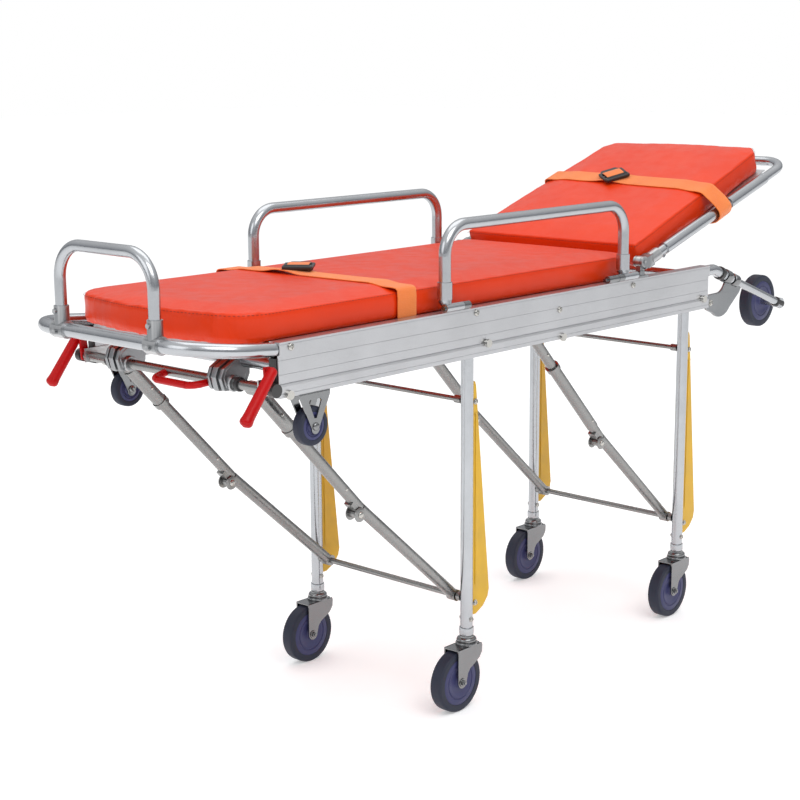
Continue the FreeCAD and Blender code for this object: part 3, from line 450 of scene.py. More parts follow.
def hex_nut(origin, axis, radius, height):
    """A chamfered hexagon nut with the end of its bolt."""
    sides = [(radius * 0.9, 0.0), (radius, 0.5), (radius, height - 0.6), (radius * 0.88, height)]
    nut = lathe(sides, origin, axis, 6)
    end = lathe(softened(radius * 0.52, height + 2.2, 0.7), origin, axis, 24)
    return joined([nut, end])


# ---------------------------------------------------------------- cushions

SEAM_DROP = 5.0  # how far each seam is from the pad's top or bottom
PRESSURE = 4.0


def coordinates(mesh):
    """A mesh's vertices as an array of points."""
    values = np.empty(len(mesh.vertices) * 3, np.float32)
    mesh.vertices.foreach_get("co", values)
    return values.reshape(-1, 3).astype(float)


def cushion_mesh(outline, thickness):
    """A closed pad from its plan outline, its sides drawn in a little between the seams."""
    bm = bmesh.new()
    levels = [(0.0, 3.0), (SEAM_DROP, 0.8), (thickness * 0.5, 2.2), (thickness - SEAM_DROP, 0.8),
              (thickness, 3.0)]
    points = [Vector((x, y, 0)) for x, y in outline]
    centre = sum(points, Vector()) / len(points)
    rings = []
    for level, inset in levels:
        loop = []
        for index, point in enumerate(points):
            tangent = (points[(index + 1) % len(points)] - points[index - 1]).normalized()
            inward = Vector((-tangent.y, tangent.x, 0))
            if inward.dot(centre - point) < 0:
                inward.negate()
            loop.append(bm.verts.new((point + inward * inset + Vector((0, 0, level))) * MM))
        rings.append(loop)
    bridge(bm, rings)
    cap_ends(bm, rings)
    bmesh.ops.recalc_face_normals(bm, faces=bm.faces)
    return finished(bm, "pad")


def inflate(mesh, voxel, cap, seams, seam_reach):
    """Remeshes a pad and lets cloth under pressure fill it out between its seams."""
    obj = link_new("inflating", mesh)
    remesh = obj.modifiers.new("remesh", "REMESH")
    remesh.mode = "VOXEL"
    remesh.voxel_size = voxel * MM
    even = to_mesh(obj)
    obj = link_new("inflating", even)
    rest = coordinates(even)
    held = obj.vertex_groups.new(name="seam")
    lines = BVHTree.FromPolygons(*seams)
    for vertex in even.vertices:
        distance = lines.find_nearest(vertex.co)[3] / MM
        if distance < seam_reach:
            held.add([vertex.index], 1.0 - 0.4 * distance / seam_reach, "REPLACE")
    cloth = obj.modifiers.new("Cloth", "CLOTH")
    settings = cloth.settings
    settings.quality = 4
    settings.tension_stiffness = 18
    settings.compression_stiffness = 18
    settings.bending_stiffness = 1.2
    settings.use_pressure = True
    settings.uniform_pressure_force = PRESSURE
    settings.effector_weights.gravity = 0.0
    settings.vertex_group_mass = held.name
    cloth.collision_settings.use_collision = False
    scene = bpy.context.scene
    for step in range(1, 21):
        scene.frame_set(step)
    swollen = to_mesh(obj)
    scene.frame_set(1)
    shift = coordinates(swollen) - rest
    length = np.linalg.norm(shift, axis=1)
    share = np.minimum(1.0, cap * MM / np.maximum(length, 1e-9))
    swollen.vertices.foreach_set("co", (rest + shift * share[:, None]).astype(np.float32).ravel())
    swollen.update()
    return swollen


def seam_strip(outline, level):
    """A thin band of faces along a seam, for finding how far a point is from it."""
    count = len(outline)
    points = [Vector((x, y, level)) * MM for x, y in outline]
    points += [Vector((x, y, level + 0.5)) * MM for x, y in outline]
    faces = [(i, (i + 1) % count, (i + 1) % count + count, i + count) for i in range(count)]
    return points, faces


def upholstered(outline, thickness, voxel, cap):
    """A stuffed pad with a sewn seam under its top edge and over its bottom edge."""
    low_points, low_faces = seam_strip(outline, SEAM_DROP)
    high_points, high_faces = seam_strip(outline, thickness - SEAM_DROP)
    faces = low_faces + [tuple(i + len(low_points) for i in face) for face in high_faces]
    seams = (low_points + high_points, faces)
    even = inflate(cushion_mesh(outline, thickness), voxel, cap, seams, 5.0)
    obj = link_new("subdividing", even)
    finer = obj.modifiers.new("finer", "SUBSURF")
    finer.levels = finer.render_levels = 1
    mesh = to_mesh(obj)
    lines = BVHTree.FromPolygons(*seams)
    points = coordinates(mesh)
    normals = np.empty(len(points) * 3, np.float32)
    mesh.vertices.foreach_get("normal", normals)
    distance = np.array([lines.find_nearest(Vector(p))[3] for p in points]) / MM
    groove = 1.5 * np.exp(-(distance / 2.2) ** 2)
    along, across = (points[:, 0] + points[:, 1]) / MM, (points[:, 0] - points[:, 1]) / MM
    ripple = np.sin(along * 0.45) * np.sin(across * 0.31 + 1.0)
    pucker = 0.35 * ripple * np.exp(-((distance - 5.0) / 9.0) ** 2)
    points += normals.reshape(-1, 3) * ((pucker - groove) * MM)[:, None]
    mesh.vertices.foreach_set("co", points.astype(np.float32).ravel())
    mesh.update()
    return mesh


def stitches(outline, level, inset, matrix, pitch=8.0):
    """A row of short threads that follows an outline."""
    points = [Vector((x, y, 0)) for x, y in outline]
    bm = bmesh.new()
    carried = 0.0
    for start, end in zip(points, points[1:] + points[:1]):
        run = end - start
        if run.length < 1e-6:
            continue
        along = run.normalized()
        outward = Vector((along.y, -along.x, 0))
        while carried < run.length:
            centre = (start + along * carried + outward * inset + Vector((0, 0, level))) * MM
            thread = bmesh.ops.create_uvsphere(bm, u_segments=6, v_segments=4, radius=1.0)["verts"]
            turn = frame_at(centre, along)
            turn = turn @ Matrix.Diagonal((0.55 * MM, 0.55 * MM, 2.7 * MM, 1.0))
            bmesh.ops.transform(bm, matrix=turn, verts=thread)
            carried += pitch
        carried -= run.length
    return moved(finished(bm, "stitches"), matrix)


def arc_points(centre, radius, start, end, steps):
    """Points on an arc in the plan, with angles in degrees."""
    angles = [math.radians(start + (end - start) * step / steps) for step in range(steps + 1)]
    return [(centre[0] + radius * math.cos(a), centre[1] + radius * math.sin(a)) for a in angles]


def resampled(outline, spacing):
    """The closed outline with points no further apart than the spacing."""
    points = []
    for (x0, y0), (x1, y1) in zip(outline, outline[1:] + outline[:1]):
        count = max(1, math.ceil(math.hypot(x1 - x0, y1 - y0) / spacing))
        points += [(x0 + (x1 - x0) * k / count, y0 + (y1 - y0) * k / count) for k in range(count)]
    return points


pad_low, pad_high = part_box("main_cushion")
PAD_HALF = pad_high.y / MM
PAD_FOOT = (pad_low.x - RAIL_FOOT) / MM
PAD_HEAD = (pad_high.x - RAIL_FOOT) / MM
PAD_BOTTOM = pad_low.z / MM
PAD_TOP = pad_high.z / MM


def main_pad_outline():
    """The mattress plan: round foot corners joined by a bowed edge, small head corners."""
    foot, corner, bow = PAD_FOOT + 21, 78.0, 21.0
    half = PAD_HALF
    points = arc_points((PAD_HEAD - 14, -half + 14), 14, -90, 0, 4)
    points += arc_points((PAD_HEAD - 14, half - 14), 14, 0, 90, 4)
    points += arc_points((foot + corner, half - corner), corner, 90, 180, 12)
    for step in range(1, 12):
        y = (half - corner) * (1 - step / 6)
        points.append((foot - bow * math.cos(math.pi / 2 * y / (half - corner)), y))
    points += arc_points((foot + corner, -half + corner), corner, 180, 270, 12)
    return points


def build_cushion(prefix, body, outline, thickness, voxel, cap, lift):
    """A padded cover and its row of stitches, made flat and then lifted into place."""
    fine = resampled(outline, 12)
    mesh = moved(upholstered(fine, thickness, voxel, cap), lift)
    pad = place(f"{prefix}_cushion_cover", mesh, body, "red_vinyl", f"{prefix}_cushion", smooth=60)
    thread = stitches(fine, thickness - SEAM_DROP, -0.4, lift)
    paint(place(f"{prefix}_cushion_stitching", thread, body, "red_vinyl"), "dark_thread")
    return pad


main_pad = build_cushion("main", "frame", main_pad_outline(), PAD_TOP - PAD_BOTTOM - 2, 6.0, 8.0,
                         Matrix.Translation(at(0, 0, PAD_BOTTOM + 0.4)))

BACK_AXIS = at(1072, 0, 852)
BACK_ANGLE = 17.2
PAD_TILT = 1.6
PAD_BACK_TOP = 34.0
BACK_PAD_THICKNESS = 54.0
# The head pad's own frame: x along it, y across, z square to it.
PAD_FRAME = Matrix.Translation(BACK_AXIS) @ Matrix.Rotation(math.radians(-BACK_ANGLE - PAD_TILT), 4, "Y")


def back_pad_outline():
    """The head pad: it narrows a little, with chamfered corners and a bowed head edge."""
    points = [(12, -234), (300, -227)]
    points += arc_points((545, -196), 22, -90, -35, 4)
    points += arc_points((559, -186), 22, -35, -10, 3)
    for step in range(1, 8):
        y = -170 + 340 * step / 8
        points.append((588 - 8 * (y / 170) ** 2, y))
    points += arc_points((559, 186), 22, 10, 35, 3)
    points += arc_points((545, 196), 22, 35, 90, 4)
    points += [(300, 227), (12, 234)]
    return points


pad_underside = (PAD_BACK_TOP - BACK_PAD_THICKNESS + 0.4) * MM
back_pad = build_cushion("backrest", "backrest", back_pad_outline(), BACK_PAD_THICKNESS - 2, 5.5, 7.0,
                         PAD_FRAME @ Matrix.Translation((0, 0, pad_underside)))


# ---------------------------------------------------------------- straps and buckles

def webbing(centre_line, side, width, thickness=2.0, columns=8):
    """A woven strap along a line of points; side is the direction across it."""
    bm = bmesh.new()
    uv_layer = bm.loops.layers.uv.new("weave")
    rows, run = [], 0.0
    for index, point in enumerate(centre_line):
        if index:
            run += (point - centre_line[index - 1]).length
        row = []
        for column in range(columns + 1):
            share = column / columns - 0.5
            vertex = bm.verts.new(point + side * (share * width * MM))
            row.append((vertex, (share * width * MM, run)))
        rows.append(row)
    for low, high in zip(rows, rows[1:]):
        for column in range(columns):
            corners = (low[column], low[column + 1], high[column + 1], high[column])
            face = bm.faces.new([vertex for vertex, place_uv in corners])
            for loop, (vertex, place_uv) in zip(face.loops, corners):
                loop[uv_layer].uv = place_uv
    obj = link_new("webbing", finished(bm, "webbing"))
    solid = obj.modifiers.new("solid", "SOLIDIFY")
    solid.thickness = thickness * MM
    solid.offset = 0.0
    rounded = obj.modifiers.new("rounded", "BEVEL")
    rounded.width = 0.5 * MM
    rounded.segments = 2
    return to_mesh(obj)


def smooth_line(points, steps=6):
    """A curve through the points."""
    made = []
    padded = [points[0] * 2 - points[1]] + points + [points[-1] * 2 - points[-2]]
    for a, b, c, d in zip(padded, padded[1:], padded[2:], padded[3:]):
        for step in range(steps):
            t = step / steps
            made.append(0.5 * (2 * b + (c - a) * t + (2 * a - 5 * b + 4 * c - d) * t * t
                               + (3 * b - a - 3 * c + d) * t ** 3))
    return made + [points[-1]]


def surface_tree(obj, inverse):
    """The piece's faces in a local frame, for finding its height."""
    vertices = [inverse @ (obj.matrix_world @ v.co) for v in obj.data.vertices]
    return BVHTree.FromPolygons(vertices, [tuple(p.vertices) for p in obj.data.polygons])


def height_on(tree, x, y, fallback):
    """How high the surface is at a place, in millimetres of its local frame."""
    hit = tree.ray_cast(Vector((x * MM, y * MM, 1.0)), Vector((0, 0, -1)))
    return hit[0].z / MM if hit[0] else fallback


def strap_line(pad, local, half, x_left, x_right, bottom, top, slack_at, slack_rise, wrap=None):
    """The line of a strap over a pad, made in the pad's frame: up one side, across and down the other.
    It drifts from x_left to x_right, and rises off the pad near the buckle. With wrap, the first side
    goes round the frame's tube through those (y, z) points instead."""
    tree = surface_tree(pad, local.inverted())
    line = []
    rise = 1.6
    edge = half - 6
    heights = (bottom, (bottom + top) / 2 - 6, top - 14)

    def drift(y):
        return x_left + (x_right - x_left) * (y + half) / (2 * half)

    if wrap:
        line += [Vector((x_left, y, z)) for y, z in wrap]
    else:
        line += [Vector((x_left, -half - rise - 0.6, z)) for z in heights]
    line.append(Vector((x_left, -half + 3, top - 1)))
    steps = 15
    for step in range(1, steps):
        y = -edge + 2 * edge * step / steps
        lift = slack_rise * math.exp(-((y - slack_at) / 32.0) ** 2)
        line.append(Vector((drift(y), y, height_on(tree, drift(y), y, top) + rise + lift)))
    line.append(Vector((drift(half), half - 3, top - 1)))
    line += [Vector((drift(half), half + rise + 0.6, z)) for z in reversed(heights)]
    return [local @ (point * MM) for point in smooth_line(line, 5)], tree


def strap(name, line, local, width, held, rests_on, body, *replaced):
    """Places webbing along a line of points."""
    mesh = webbing(line, (local.to_3x3() @ X_AXIS).normalized(), width)
    obj = place(name, mesh, body, "orange_webbing", *replaced, smooth=60)


def bar_buckle(matrix, width):
    """A cam buckle: a black frame with two slots, a nose and a ridged thumb bar."""
    half = width / 2 + 5
    frame_plate = sheet_metal([[(-half, -24), (half, -24), (half, 24), (-half, 24)],
                               [(-half + 6, -17), (half - 6, -17), (half - 6, -4), (-half + 6, -4)],
                               [(-half + 6, 2), (half - 6, 2), (half - 6, 16), (-half + 6, 16)]],
                              6.0, Matrix(), 1.4, 4.0)
    nose = sheet_metal([[(-half + 3, 20), (half - 3, 20), (half - 12, 36), (-half + 12, 36)]],
                       5.0, Matrix(), 1.4, 4.0)
    thumb = block((-half + 1, -33, -1), (half - 1, -17, 7), 2.6)
    ridges = [block((-half + 5, -30 + 4 * k, 6.2), (half - 5, -28.4 + 4 * k, 7.9), 0.5) for k in range(3)]
    return moved(joined([frame_plate, nose, thumb] + ridges), matrix)


def fold_line(matrix):
    """The line of a strap's end that is wrapped over the buckle's bar."""
    turns = ((-3, -3.5), (-18, -2.4), (-20, 2.5), (-12, 5.4), (4, 5.2), (17, 4.2))
    line = [Vector((0, y, z)) for y, z in turns]
    return [matrix @ (point * MM) for point in smooth_line(line, 4)]


STRAP_WIDTH, FOLD_WIDTH = 50.0, 42.0
# Where the backrest's strap comes up from under its frame tube and over it, across and up.
BACK_WRAP = ((-205, -40), (-232, -39), (-254, -35), (-266, -24), (-268, -10), (-258, 6), (-240, 24))


def build_strap(prefix, body, pad_frame, rests_on, line, spot, turns):
    """A strap laid over a pad, its buckle turned by (about z, about x), and its end folded round the bar."""
    strap(f"{prefix}_strap_webbing", line, pad_frame, STRAP_WIDTH, "laid", rests_on, body, f"{prefix}_strap")
    turned = [Matrix.Rotation(math.radians(angle), 4, axis) for angle, axis in zip(turns, "ZX")]
    seat = pad_frame @ Matrix.Translation(Vector(spot) * MM) @ turned[0] @ turned[1]
    buckle = f"{prefix}_buckle"
    place(f"{buckle}_frame", bar_buckle(seat, STRAP_WIDTH), body, "black_plastic", buckle)
    strap(f"{buckle}_fold", fold_line(seat), seat, FOLD_WIDTH, "folded", [f"{buckle}_frame"], body)


def build_straps():
    level = Matrix.Translation(at(0, 0, 0))
    line, tree = strap_line(main_pad, level, PAD_HALF + 1.5, 347, 325, PAD_BOTTOM + 3, PAD_TOP + 3, 62, 7.0)
    spot = (352, 52, height_on(tree, 350, 58, PAD_TOP) + 11)
    build_strap("main", "frame", level, [main_pad], line, spot, (-52, 5))
    line, tree = strap_line(back_pad, PAD_FRAME, 228, 318, 342, PAD_BACK_TOP - 50, PAD_BACK_TOP + 3, 40, 6.0,
                            BACK_WRAP)
    spot = (335, 35, height_on(tree, 335, 35, PAD_BACK_TOP) + 10)
    build_strap("backrest", "backrest", PAD_FRAME, [back_pad, "backrest_frame"], line, spot, (-35, 4))


build_straps()


# ---------------------------------------------------------------- wheels

CASTER_WHEEL = {"radius": 62.5, "half": 14.0, "rim": 48.0}
SUPPORT_WHEEL = {"radius": 35.0, "half": 10.0, "rim": 25.0}
AXLE_RADIUS = 5.0


def tyre(radius, half, rim, origin):
    """A tread with rounded shoulders."""
    shoulder = 4.5
    bend = [(radius - shoulder + shoulder * math.sin(a), half - shoulder + shoulder * math.cos(a))
            for a in (math.pi / 8 * k for k in range(1, 4))]
    face = [(rim, half - 0.6), (radius - shoulder, half)] + bend + [(radius, half - 6.5)]
    return washer([(r, -height) for r, height in face] + face[::-1], origin, Y_AXIS, 72)


def hub(rim, half, origin):
    """A wheel centre with a step, a ring groove and a bearing boss on each face."""
    face = [(AXLE_RADIUS + 0.3, half + 0.5), (10.5, half + 0.5), (11.5, half - 0.5), (13.0, half - 2.6),
            (22.0, half - 3.0), (rim * 0.60, half - 1.6), (rim * 0.64, half - 1.2), (rim * 0.70, half - 1.1),
            (rim * 0.72, half - 2.4), (rim * 0.76, half - 2.4), (rim * 0.78, half - 1.0),
            (rim - 1.0, half - 0.8), (rim - 0.2, half - 1.4)]
    return washer([(r, -height) for r, height in face] + face[::-1], origin, Y_AXIS, 72)


def axle_ends(origin, reach, radius):
    """A domed nut and washer on each end of an axle."""
    meshes = []
    for side in (-1, 1):
        base = origin + Vector((0, side * reach * MM, 0))
        out = Vector((0, side, 0))
        meshes.append(lathe(softened(radius, 1.6, 0.5), base, out, 32))
        meshes.append(hex_nut(base + out * 1.5 * MM, out, radius * 0.72, 4.6))
    return joined(meshes)


LEG_X = {"foot": 544.5, "head": 1306.5}
LEG_Y = 211.0
TRAIL = 34.0


def caster_fork(x, y):
    """A pressed fork: two cheeks with a swept shoulder, a folded crown and a swivel bearing."""
    axle, foot = CASTER_WHEEL["radius"], 12.5
    cheek = [(-TRAIL - foot, 131), (25, 131), (27, 126), (26, 112), (18, 101), (4, 93), (-10, 86), (-17, 78)]
    cheek += arc_points((-TRAIL, axle), foot, 0, -180, 10)
    meshes = [sheet_metal([cheek], 3.2, upright(x, y + side * 17.8, 0), 0.7) for side in (-1, 1)]
    crown = [(-TRAIL - foot, -19.3), (20, -19.3), (27, -10), (27, 10), (20, 19.3), (-TRAIL - foot, 19.3)]
    meshes.append(sheet_metal([crown], 3.2, Matrix.Translation(at(x, y, 129.4)), 0.7, 3.0))
    bearing = [(20.0, 130.5), (22.0, 131.2), (22.4, 134.0), (21.2, 136.2), (18.8, 137.0), (19.6, 138.2),
               (20.4, 140.5), (19.4, 143.6), (17.0, 145.6), (14.5, 146.2), (14.0, 149.4)]
    meshes.append(lathe(bearing, at(x, y, 0), Z_AXIS))
    meshes.append(axle_ends(at(x - TRAIL, y, axle), 19.4, 9.0))
    meshes.append(lathe(softened(AXLE_RADIUS, 38, 0.3), at(x - TRAIL, y - 19, axle), Y_AXIS, 24))
    return joined(meshes)


def build_wheel(name, body, tyre_node, hub_nodes, size, centre):
    """A tread and a wheel centre on one body."""
    place(f"{name}_tread", tyre(**size, origin=centre), body, "tread_rubber", tyre_node)
    place(f"{name}_centre", hub(size["rim"], size["half"], centre), body, "hub_plastic", *hub_nodes)


def build_wheels():
    for end, x in LEG_X.items():
        for hand, side in SIDES.items():
            y = side * LEG_Y
            caster = f"{end}_{hand}_caster"
            centre = at(x - TRAIL, y, CASTER_WHEEL["radius"])
            build_wheel(caster, f"{caster}_wheel", f"{caster}_tyre", [f"{caster}_hub"], CASTER_WHEEL, centre)
            place(f"{caster}_yoke", caster_fork(x, y), f"{caster}_fork", "zinc_plate", f"{caster}_fork")
    for hand in SIDES:
        for kind, size in (("loading", CASTER_WHEEL), ("support", SUPPORT_WHEEL)):
            body = f"{kind}_wheel_{hand}"
            low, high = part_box(body)
            build_wheel(body, body, body, [], size, (low + high) / 2)


build_wheels()


# ---------------------------------------------------------------- support wheel forks

def build_support_forks():
    meshes = []
    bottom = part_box("side_rail_left")[0].z
    for hand in SIDES:
        low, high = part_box(f"support_wheel_{hand}")
        centre = (low + high) / 2
        top = (bottom - centre.z) / MM
        cheek = [(-36, top), (-36, top - 7), (-9, -3)] + arc_points((0, -4), 9.5, 190, 350, 8)
        cheek += [(9, -3), (36, top - 7), (36, top)]
        window = [(-15, top - 16), (-12.5, top - 12.5), (12.5, top - 12.5), (15, top - 16), (2.5, 15),
                  (-2.5, 15)]
        for face in (-1, 1):
            out = Vector((0, face, 0))
            where = Matrix.Translation(centre + out * 12.4 * MM) @ Matrix.Rotation(math.pi / 2, 4, "X")
            meshes.append(sheet_metal([cheek, window], 3.0, where, 0.6))
            rivet = [(7.0, 0), (7.2, 0.8), (6.4, 2.6), (4.2, 3.7), (1.5, 4.0)]
            meshes.append(lathe(rivet, centre + out * 13.9 * MM, out, 32))
        meshes.append(block((-36, -13.9, top - 3), (36, 13.9, top), 0.8, Matrix.Translation(centre)))
        meshes.append(lathe(softened(AXLE_RADIUS, 26, 0.3), centre - Y_AXIS * 13 * MM, Y_AXIS, 24))
    place("support_fork_plates", joined(meshes), "frame", "zinc_plate", "support_wheel_forks")


build_support_forks()


# ---------------------------------------------------------------- leg skids

def build_skids():
    """The sliding skid behind each leg: a plate with a long rib on each face, and its bolts."""
    plate = [(12.8, 188), (24, 188), (46, 199), (61, 216), (65, 232), (23, 655), (20, 664), (12.8, 664)]
    rib = [(20, 250), (36, 250), (22, 600), (20, 600)]
    for end, x in LEG_X.items():
        meshes, bolts = [], []
        for side in SIDES.values():
            y = side * LEG_Y
            meshes.append(sheet_metal([plate], 10.0, upright(x, y, 0), 1.8, 2.0))
            for face in (-1, 1):
                out = Vector((0, face, 0))
                meshes.append(sheet_metal([rib], 2.2, upright(x, y + face * 5.2, 0), 0.8, 2.5))
                bolts += [bolt_head(at(x + 19, y + face * 5.8, z), out, 4.6, 3.0, 6.0) for z in (213, 624)]
        place(f"{end}_skid_plates", joined(meshes), f"{end}_legs", "yellow_plastic", f"{end}_leg_skids")
        place(f"{end}_skid_bolts", joined(bolts), f"{end}_legs", "steel_bolt")


build_skids()


# ---------------------------------------------------------------- release handles

RELEASE = (-13.0, 740.0)  # the release shaft's x and z


def build_handles():
    """Two swelling grips on shanks beside the rails, and a bowed grip in the middle."""
    meshes = []
    steps, overrun = 40, 0.010
    shank = [(-10, -8), (6, -8), (9, -4), (9, 4), (6, 10), (1, 40), (-14, 40)]
    for side in SIDES.values():
        top, low = at(-22, side * 265, 772), at(-80, side * 265, 699)
        along = (low - top).normalized()
        length = (low - top).length + 2 * overrun
        points, scale = [], []
        for step in range(steps + 1):
            t = step / steps
            points.append(top - along * overrun + along * length * t)
            near_end = min(t, 1 - t)
            round_end = math.sqrt(1 - (1 - near_end / 0.07) ** 2) if near_end < 0.07 else 1.0
            swell = 0.80 + 0.12 * t + 0.10 * math.exp(-((t - 0.93) / 0.06) ** 2)
            scale.append(max(0.15, round_end) * swell)
        meshes.append(sweep(points, 11.5, 28, scale))
        meshes.append(sheet_metal([shank], 5.0, upright(RELEASE[0], side * 250.8, RELEASE[1]), 1.2, 3.0))
    place("side_handle_grips", joined(meshes), "release_controls", "red_grip", "side_release_handles")
    bow = rounded_path([at(-20, 12, 738), at(-56, 2, 733.5), at(-56, -102, 733.5), at(-20, -112, 738)],
                       24 * MM, 10)
    fine = smooth_line(bow, 2)
    scale = [1.0 - 0.04 * (0.5 - 0.5 * math.cos(2 * math.pi * k / 6)) for k in range(len(fine))]
    grip = sweep(fine, 6.5, 24, scale, flat=1.25)
    place("middle_handle_grip", grip, "release_controls", "red_grip", "middle_release_grip")


build_handles()


# ---------------------------------------------------------------- fasteners

def build_fasteners():
    heads = []
    for side in SIDES.values():
        out = Vector((0, side, 0))
        for x, z, face in ((26, 809, 262), (511, 809, 262), (775, 784, 259), (1028, 807, 262)):
            heads.append(bolt_head(at(x, side * face, z), out, 6.3, 3.8))
    place("rail_screw_heads", joined(heads), "frame", "steel_bolt", "rail_fasteners")


build_fasteners()


# ---------------------------------------------------------------- knuckles, arms and clamps

BRACE_Y = 177.0
KNEE, ROOT, PIN = (274.1, 463.5), (20.5, 728.0), (264.42, 453.39)  # x and z of the foot braces
HEAD_SHIFT = LEG_X["head"] - LEG_X["foot"]
# How far along each upper brace its two rivets are, and how far out they sit.
BRACE_RIVETS = {"foot": ((0.20, 13.3), (0.83, 11.0)), "head": ((0.20, 11.0), (0.83, 12.3))}


def build_knuckles():
    """Round cheeks over each knuckle's pin, and the small rivets of the tubes beside it."""
    cheek = [(13.6, 0), (14.0, 0.8), (13.4, 2.4), (9.4, 3.4), (8.8, 3.5)]
    dome = [(6.6, 3.2), (6.6, 4.6), (5.6, 6.0), (3.2, 6.9), (1.2, 7.1)]
    for end, shift in (("foot", 0.0), ("head", HEAD_SHIFT)):
        cheeks, rivets = [], []
        for side in SIDES.values():
            for face in (-1, 1):
                out = Vector((0, face, 0))
                y = side * BRACE_Y
                pin_at = at(PIN[0] + shift, y + face * 10.6, PIN[1])
                cheeks.append(lathe(cheek, pin_at, out, 40))
                rivets.append(lathe(dome, pin_at, out, 32))
                for share, reach in BRACE_RIVETS[end]:
                    x, z = (root + (knee - root) * share for root, knee in zip(ROOT, KNEE))
                    base = at(x + shift, y + face * (reach - 0.2), z)
                    rivets.append(lathe([(3.2, 0), (3.0, 1.0), (1.8, 1.8)], base, out, 20))
        place(f"{end}_knuckle_cheeks", joined(cheeks), f"{end}_upper_braces", "brace_steel")
        place(f"{end}_knuckle_rivets", joined(rivets), f"{end}_upper_braces", "steel_bolt")


build_knuckles()

ARM_Y, ARM_ROOT_Z = 249.0, 806.0
WHEEL_X, WHEEL_Z = 1663.0, 697.0
RAIL_LENGTH = 1330.0


def build_arms():
    """Rings, clamps, the hanging gussets and end caps of the loading wheels' arms."""
    rings, clamps, caps, bolts, gussets = [], [], [], [], []
    gusset = arc_points((1354, 731), 21, 110, 225, 8) + arc_points((1398, 746), 52, 230, 320, 10)
    gusset += [(1478, 742), (1491, 761), (1440, 774)] + arc_points((1383, 786), 35, 0, -95, 8)
    cap = [(9.2, -16), (11.2, -15), (11.6, -12), (11.6, 12), (9.0, 14), (4, 14.6)]
    for side in SIDES.values():
        y = side * ARM_Y
        knee, end = at(RAIL_LENGTH + 34, y, ARM_ROOT_Z), at(WHEEL_X, y, WHEEL_Z)
        slope = (end - knee).normalized()
        rings.append(lathe([(12.6, -6), (15.2, -5), (15.4, 5), (12.6, 6)], knee + slope * 0.033, slope, 40))
        for down, reach in ((0.062, 15.6), (0.098, 14.6)):
            inner = reach - 0.8
            clamp = [(12.6, -11), (inner, -10.4), (reach, -9), (reach, 9), (inner, 10.4), (9.4, 11)]
            clamps.append(lathe(clamp, knee + slope * down, slope, 40))
        caps.append(lathe(cap, end, slope, 40))
        gussets.append(sheet_metal([gusset], 6.0, upright(0, y, 0), 1.6))
        for face in (-1, 1):
            bolts.append(bolt_head(at(1354, y + face * 2.9, 731), Vector((0, face, 0)), 5.0, 3.2, 7.4))
    place("loading_arm_rings", joined(rings), "frame", "black_plastic")
    place("loading_arm_clamps", joined(clamps), "frame", "zinc_plate")
    place("loading_arm_caps", joined(caps), "frame", "black_plastic")
    place("loading_gusset_plates", joined(gussets), "frame", "grey_casting", "loading_wheel_gussets")
    place("loading_gusset_bolts", joined(bolts), "frame", "steel_bolt")


build_arms()


def build_leg_collars():
    """The clamp band at the foot of each leg, with its cross bolt."""
    band = [(12.6, 151), (14.4, 151.6), (14.8, 153), (14.8, 165), (14.4, 166.4), (12.6, 167)]
    for end, x in LEG_X.items():
        bands, bolts = [], []
        for side in SIDES.values():
            y = side * LEG_Y
            bands.append(lathe(band, at(x, y, 0), Z_AXIS))
            for face in (-1, 1):
                bolts.append(bolt_head(at(x, y + face * 12.4, 184), Vector((0, face, 0)), 4.2, 2.6, 5.6))
        place(f"{end}_leg_bands", joined(bands), f"{end}_legs", "tube_aluminium")
        place(f"{end}_leg_cross_bolts", joined(bolts), f"{end}_legs", "steel_bolt")


build_leg_collars()


def build_housings():
    """Release castings: three ribs round the shaft and the spreader on a narrower core, with bosses."""
    castings, rings = [], []
    x, z, middle = *RELEASE, 140.0
    web = [(-20, -12), (10, -13), (32, -4), (40, 12), (40, 38), (14, 45), (-20, 27), (-27, 10)]
    core = [(along * 0.80, height * 0.80 + 2.5) for along, height in web]
    for side in SIDES.values():
        for out, width, grow in ((-15.5, 7.0, 0.0), (0.0, 12.0, -1.5), (15.5, 7.0, 0.0)):
            rib = [(a + math.copysign(grow, a), b + math.copysign(grow, b)) for a, b in web]
            castings.append(sheet_metal([rib], width, upright(x, side * (middle + out), z), 1.4, 5.0))
        castings.append(sheet_metal([core], 39.0, upright(x, side * middle, z), 2.0, 5.0))
        for face in (-1, 1):
            base, out = at(x, side * (middle + face * 20.8), z), Vector((0, face * side, 0))
            castings.append(lathe([(14.5, -2), (14.5, 3), (13.4, 4.4), (9.3, 4.6)], base, out, 40))
        ring_outline = [(9.2, -4), (12.4, -3.4), (12.8, 0), (12.4, 3.4), (9.2, 4)]
        rings.append(lathe(ring_outline, at(x, side * 176, z), Y_AXIS, 40))
    place("release_casting_lobes", joined(castings), "frame", "grey_casting", "release_housings")
    place("release_shaft_rings", joined(rings), "release_controls", "black_plastic")


build_housings()


# ---------------------------------------------------------------- stage, light and camera

FLOOR_HALF = 30

floor_mesh = bpy.data.meshes.new("floor")
floor_corners = [(x * FLOOR_HALF, y * FLOOR_HALF, 0) for x, y in ((-1, -1), (1, -1), (1, 1), (-1, 1))]
floor_mesh.from_pydata(floor_corners, [], [(0, 1, 2, 3)])
floor = link_new("floor", floor_mesh)
floor_surface = Surface("floor", (0.9, 0.9, 0.9), 0.9, Emission_Color=(1, 1, 1, 1), Emission_Strength=0.3)
floor_mesh.materials.append(floor_surface.material)

world = bpy.data.worlds.new("studio")
bpy.context.scene.world = world
world.use_nodes = True


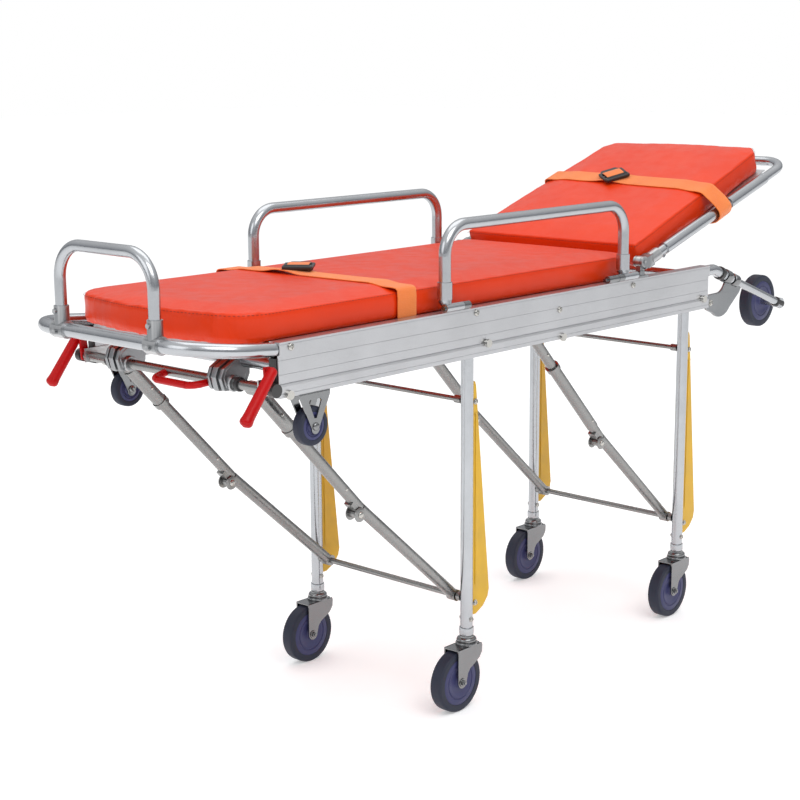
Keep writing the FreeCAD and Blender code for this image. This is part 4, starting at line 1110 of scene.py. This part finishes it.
def studio_sky(tree):
    """White to the eye, and for light and reflections darker at the horizon than overhead."""
    place_in = tree.nodes.new("ShaderNodeTexCoord")
    split = tree.nodes.new("ShaderNodeSeparateXYZ")
    tree.links.new(place_in.outputs["Generated"], split.inputs["Vector"])
    ramp = tree.nodes.new("ShaderNodeValToRGB")
    tree.links.new(split.outputs["Z"], ramp.inputs["Fac"])
    stops = ramp.color_ramp.elements
    stops[0].position, stops[0].color = 0.0, (0.26, 0.27, 0.29, 1)
    stops[1].position, stops[1].color = 0.8, (0.95, 0.95, 0.95, 1)
    middle = stops.new(0.28)
    middle.color = (0.52, 0.53, 0.55, 1)
    seen = tree.nodes.new("ShaderNodeLightPath")
    mix = tree.nodes.new("ShaderNodeMix")
    mix.data_type = "RGBA"
    tree.links.new(seen.outputs["Is Camera Ray"], mix.inputs["Factor"])
    tree.links.new(ramp.outputs["Color"], mix.inputs["A"])
    mix.inputs["B"].default_value = (1, 1, 1, 1)
    tree.links.new(mix.outputs["Result"], tree.nodes["Background"].inputs["Color"])


studio_sky(world.node_tree)


def softbox(name, position, target, width, height, power):
    light = bpy.data.lights.new(name, "AREA")
    light.shape = "RECTANGLE"
    light.size, light.size_y = width, height
    light.energy = power
    away = Vector(position) - Vector(target)
    link_new(name, light).matrix_world = frame_at(Vector(position), away, Z_AXIS)


softbox("key", (-1.5, -3.0, 4.2), (0, 0, 0.6), 3.5, 2.5, 75)
softbox("fill", (-4.5, 0.5, 2.5), (0, 0, 0.6), 2.5, 2.5, 25)
softbox("top", (0.5, 0.5, 4.5), (0, 0, 0.6), 4.0, 3.0, 45)

CAMERA_PLACE = at(-1838.1, -2211.5, 1280.8)
CAMERA_AZIMUTH, CAMERA_ELEVATION, CAMERA_ROLL = -47.5846, 11.8284, -0.3556  # degrees

camera_data = bpy.data.cameras.new("camera")
camera_data.sensor_width = 36.0
camera_data.lens = 73.59
camera = link_new("camera", camera_data)
azimuth = Matrix.Rotation(math.radians(CAMERA_AZIMUTH), 4, "Z")
tilt = Matrix.Rotation(math.radians(90 - CAMERA_ELEVATION), 4, "X")
roll = Matrix.Rotation(math.radians(CAMERA_ROLL), 4, "Z")
camera.matrix_world = Matrix.Translation(CAMERA_PLACE) @ azimuth @ tilt @ roll
bpy.context.scene.camera = camera

bpy.context.scene.view_settings.view_transform = "Standard"

bpy.context.view_layer.update()
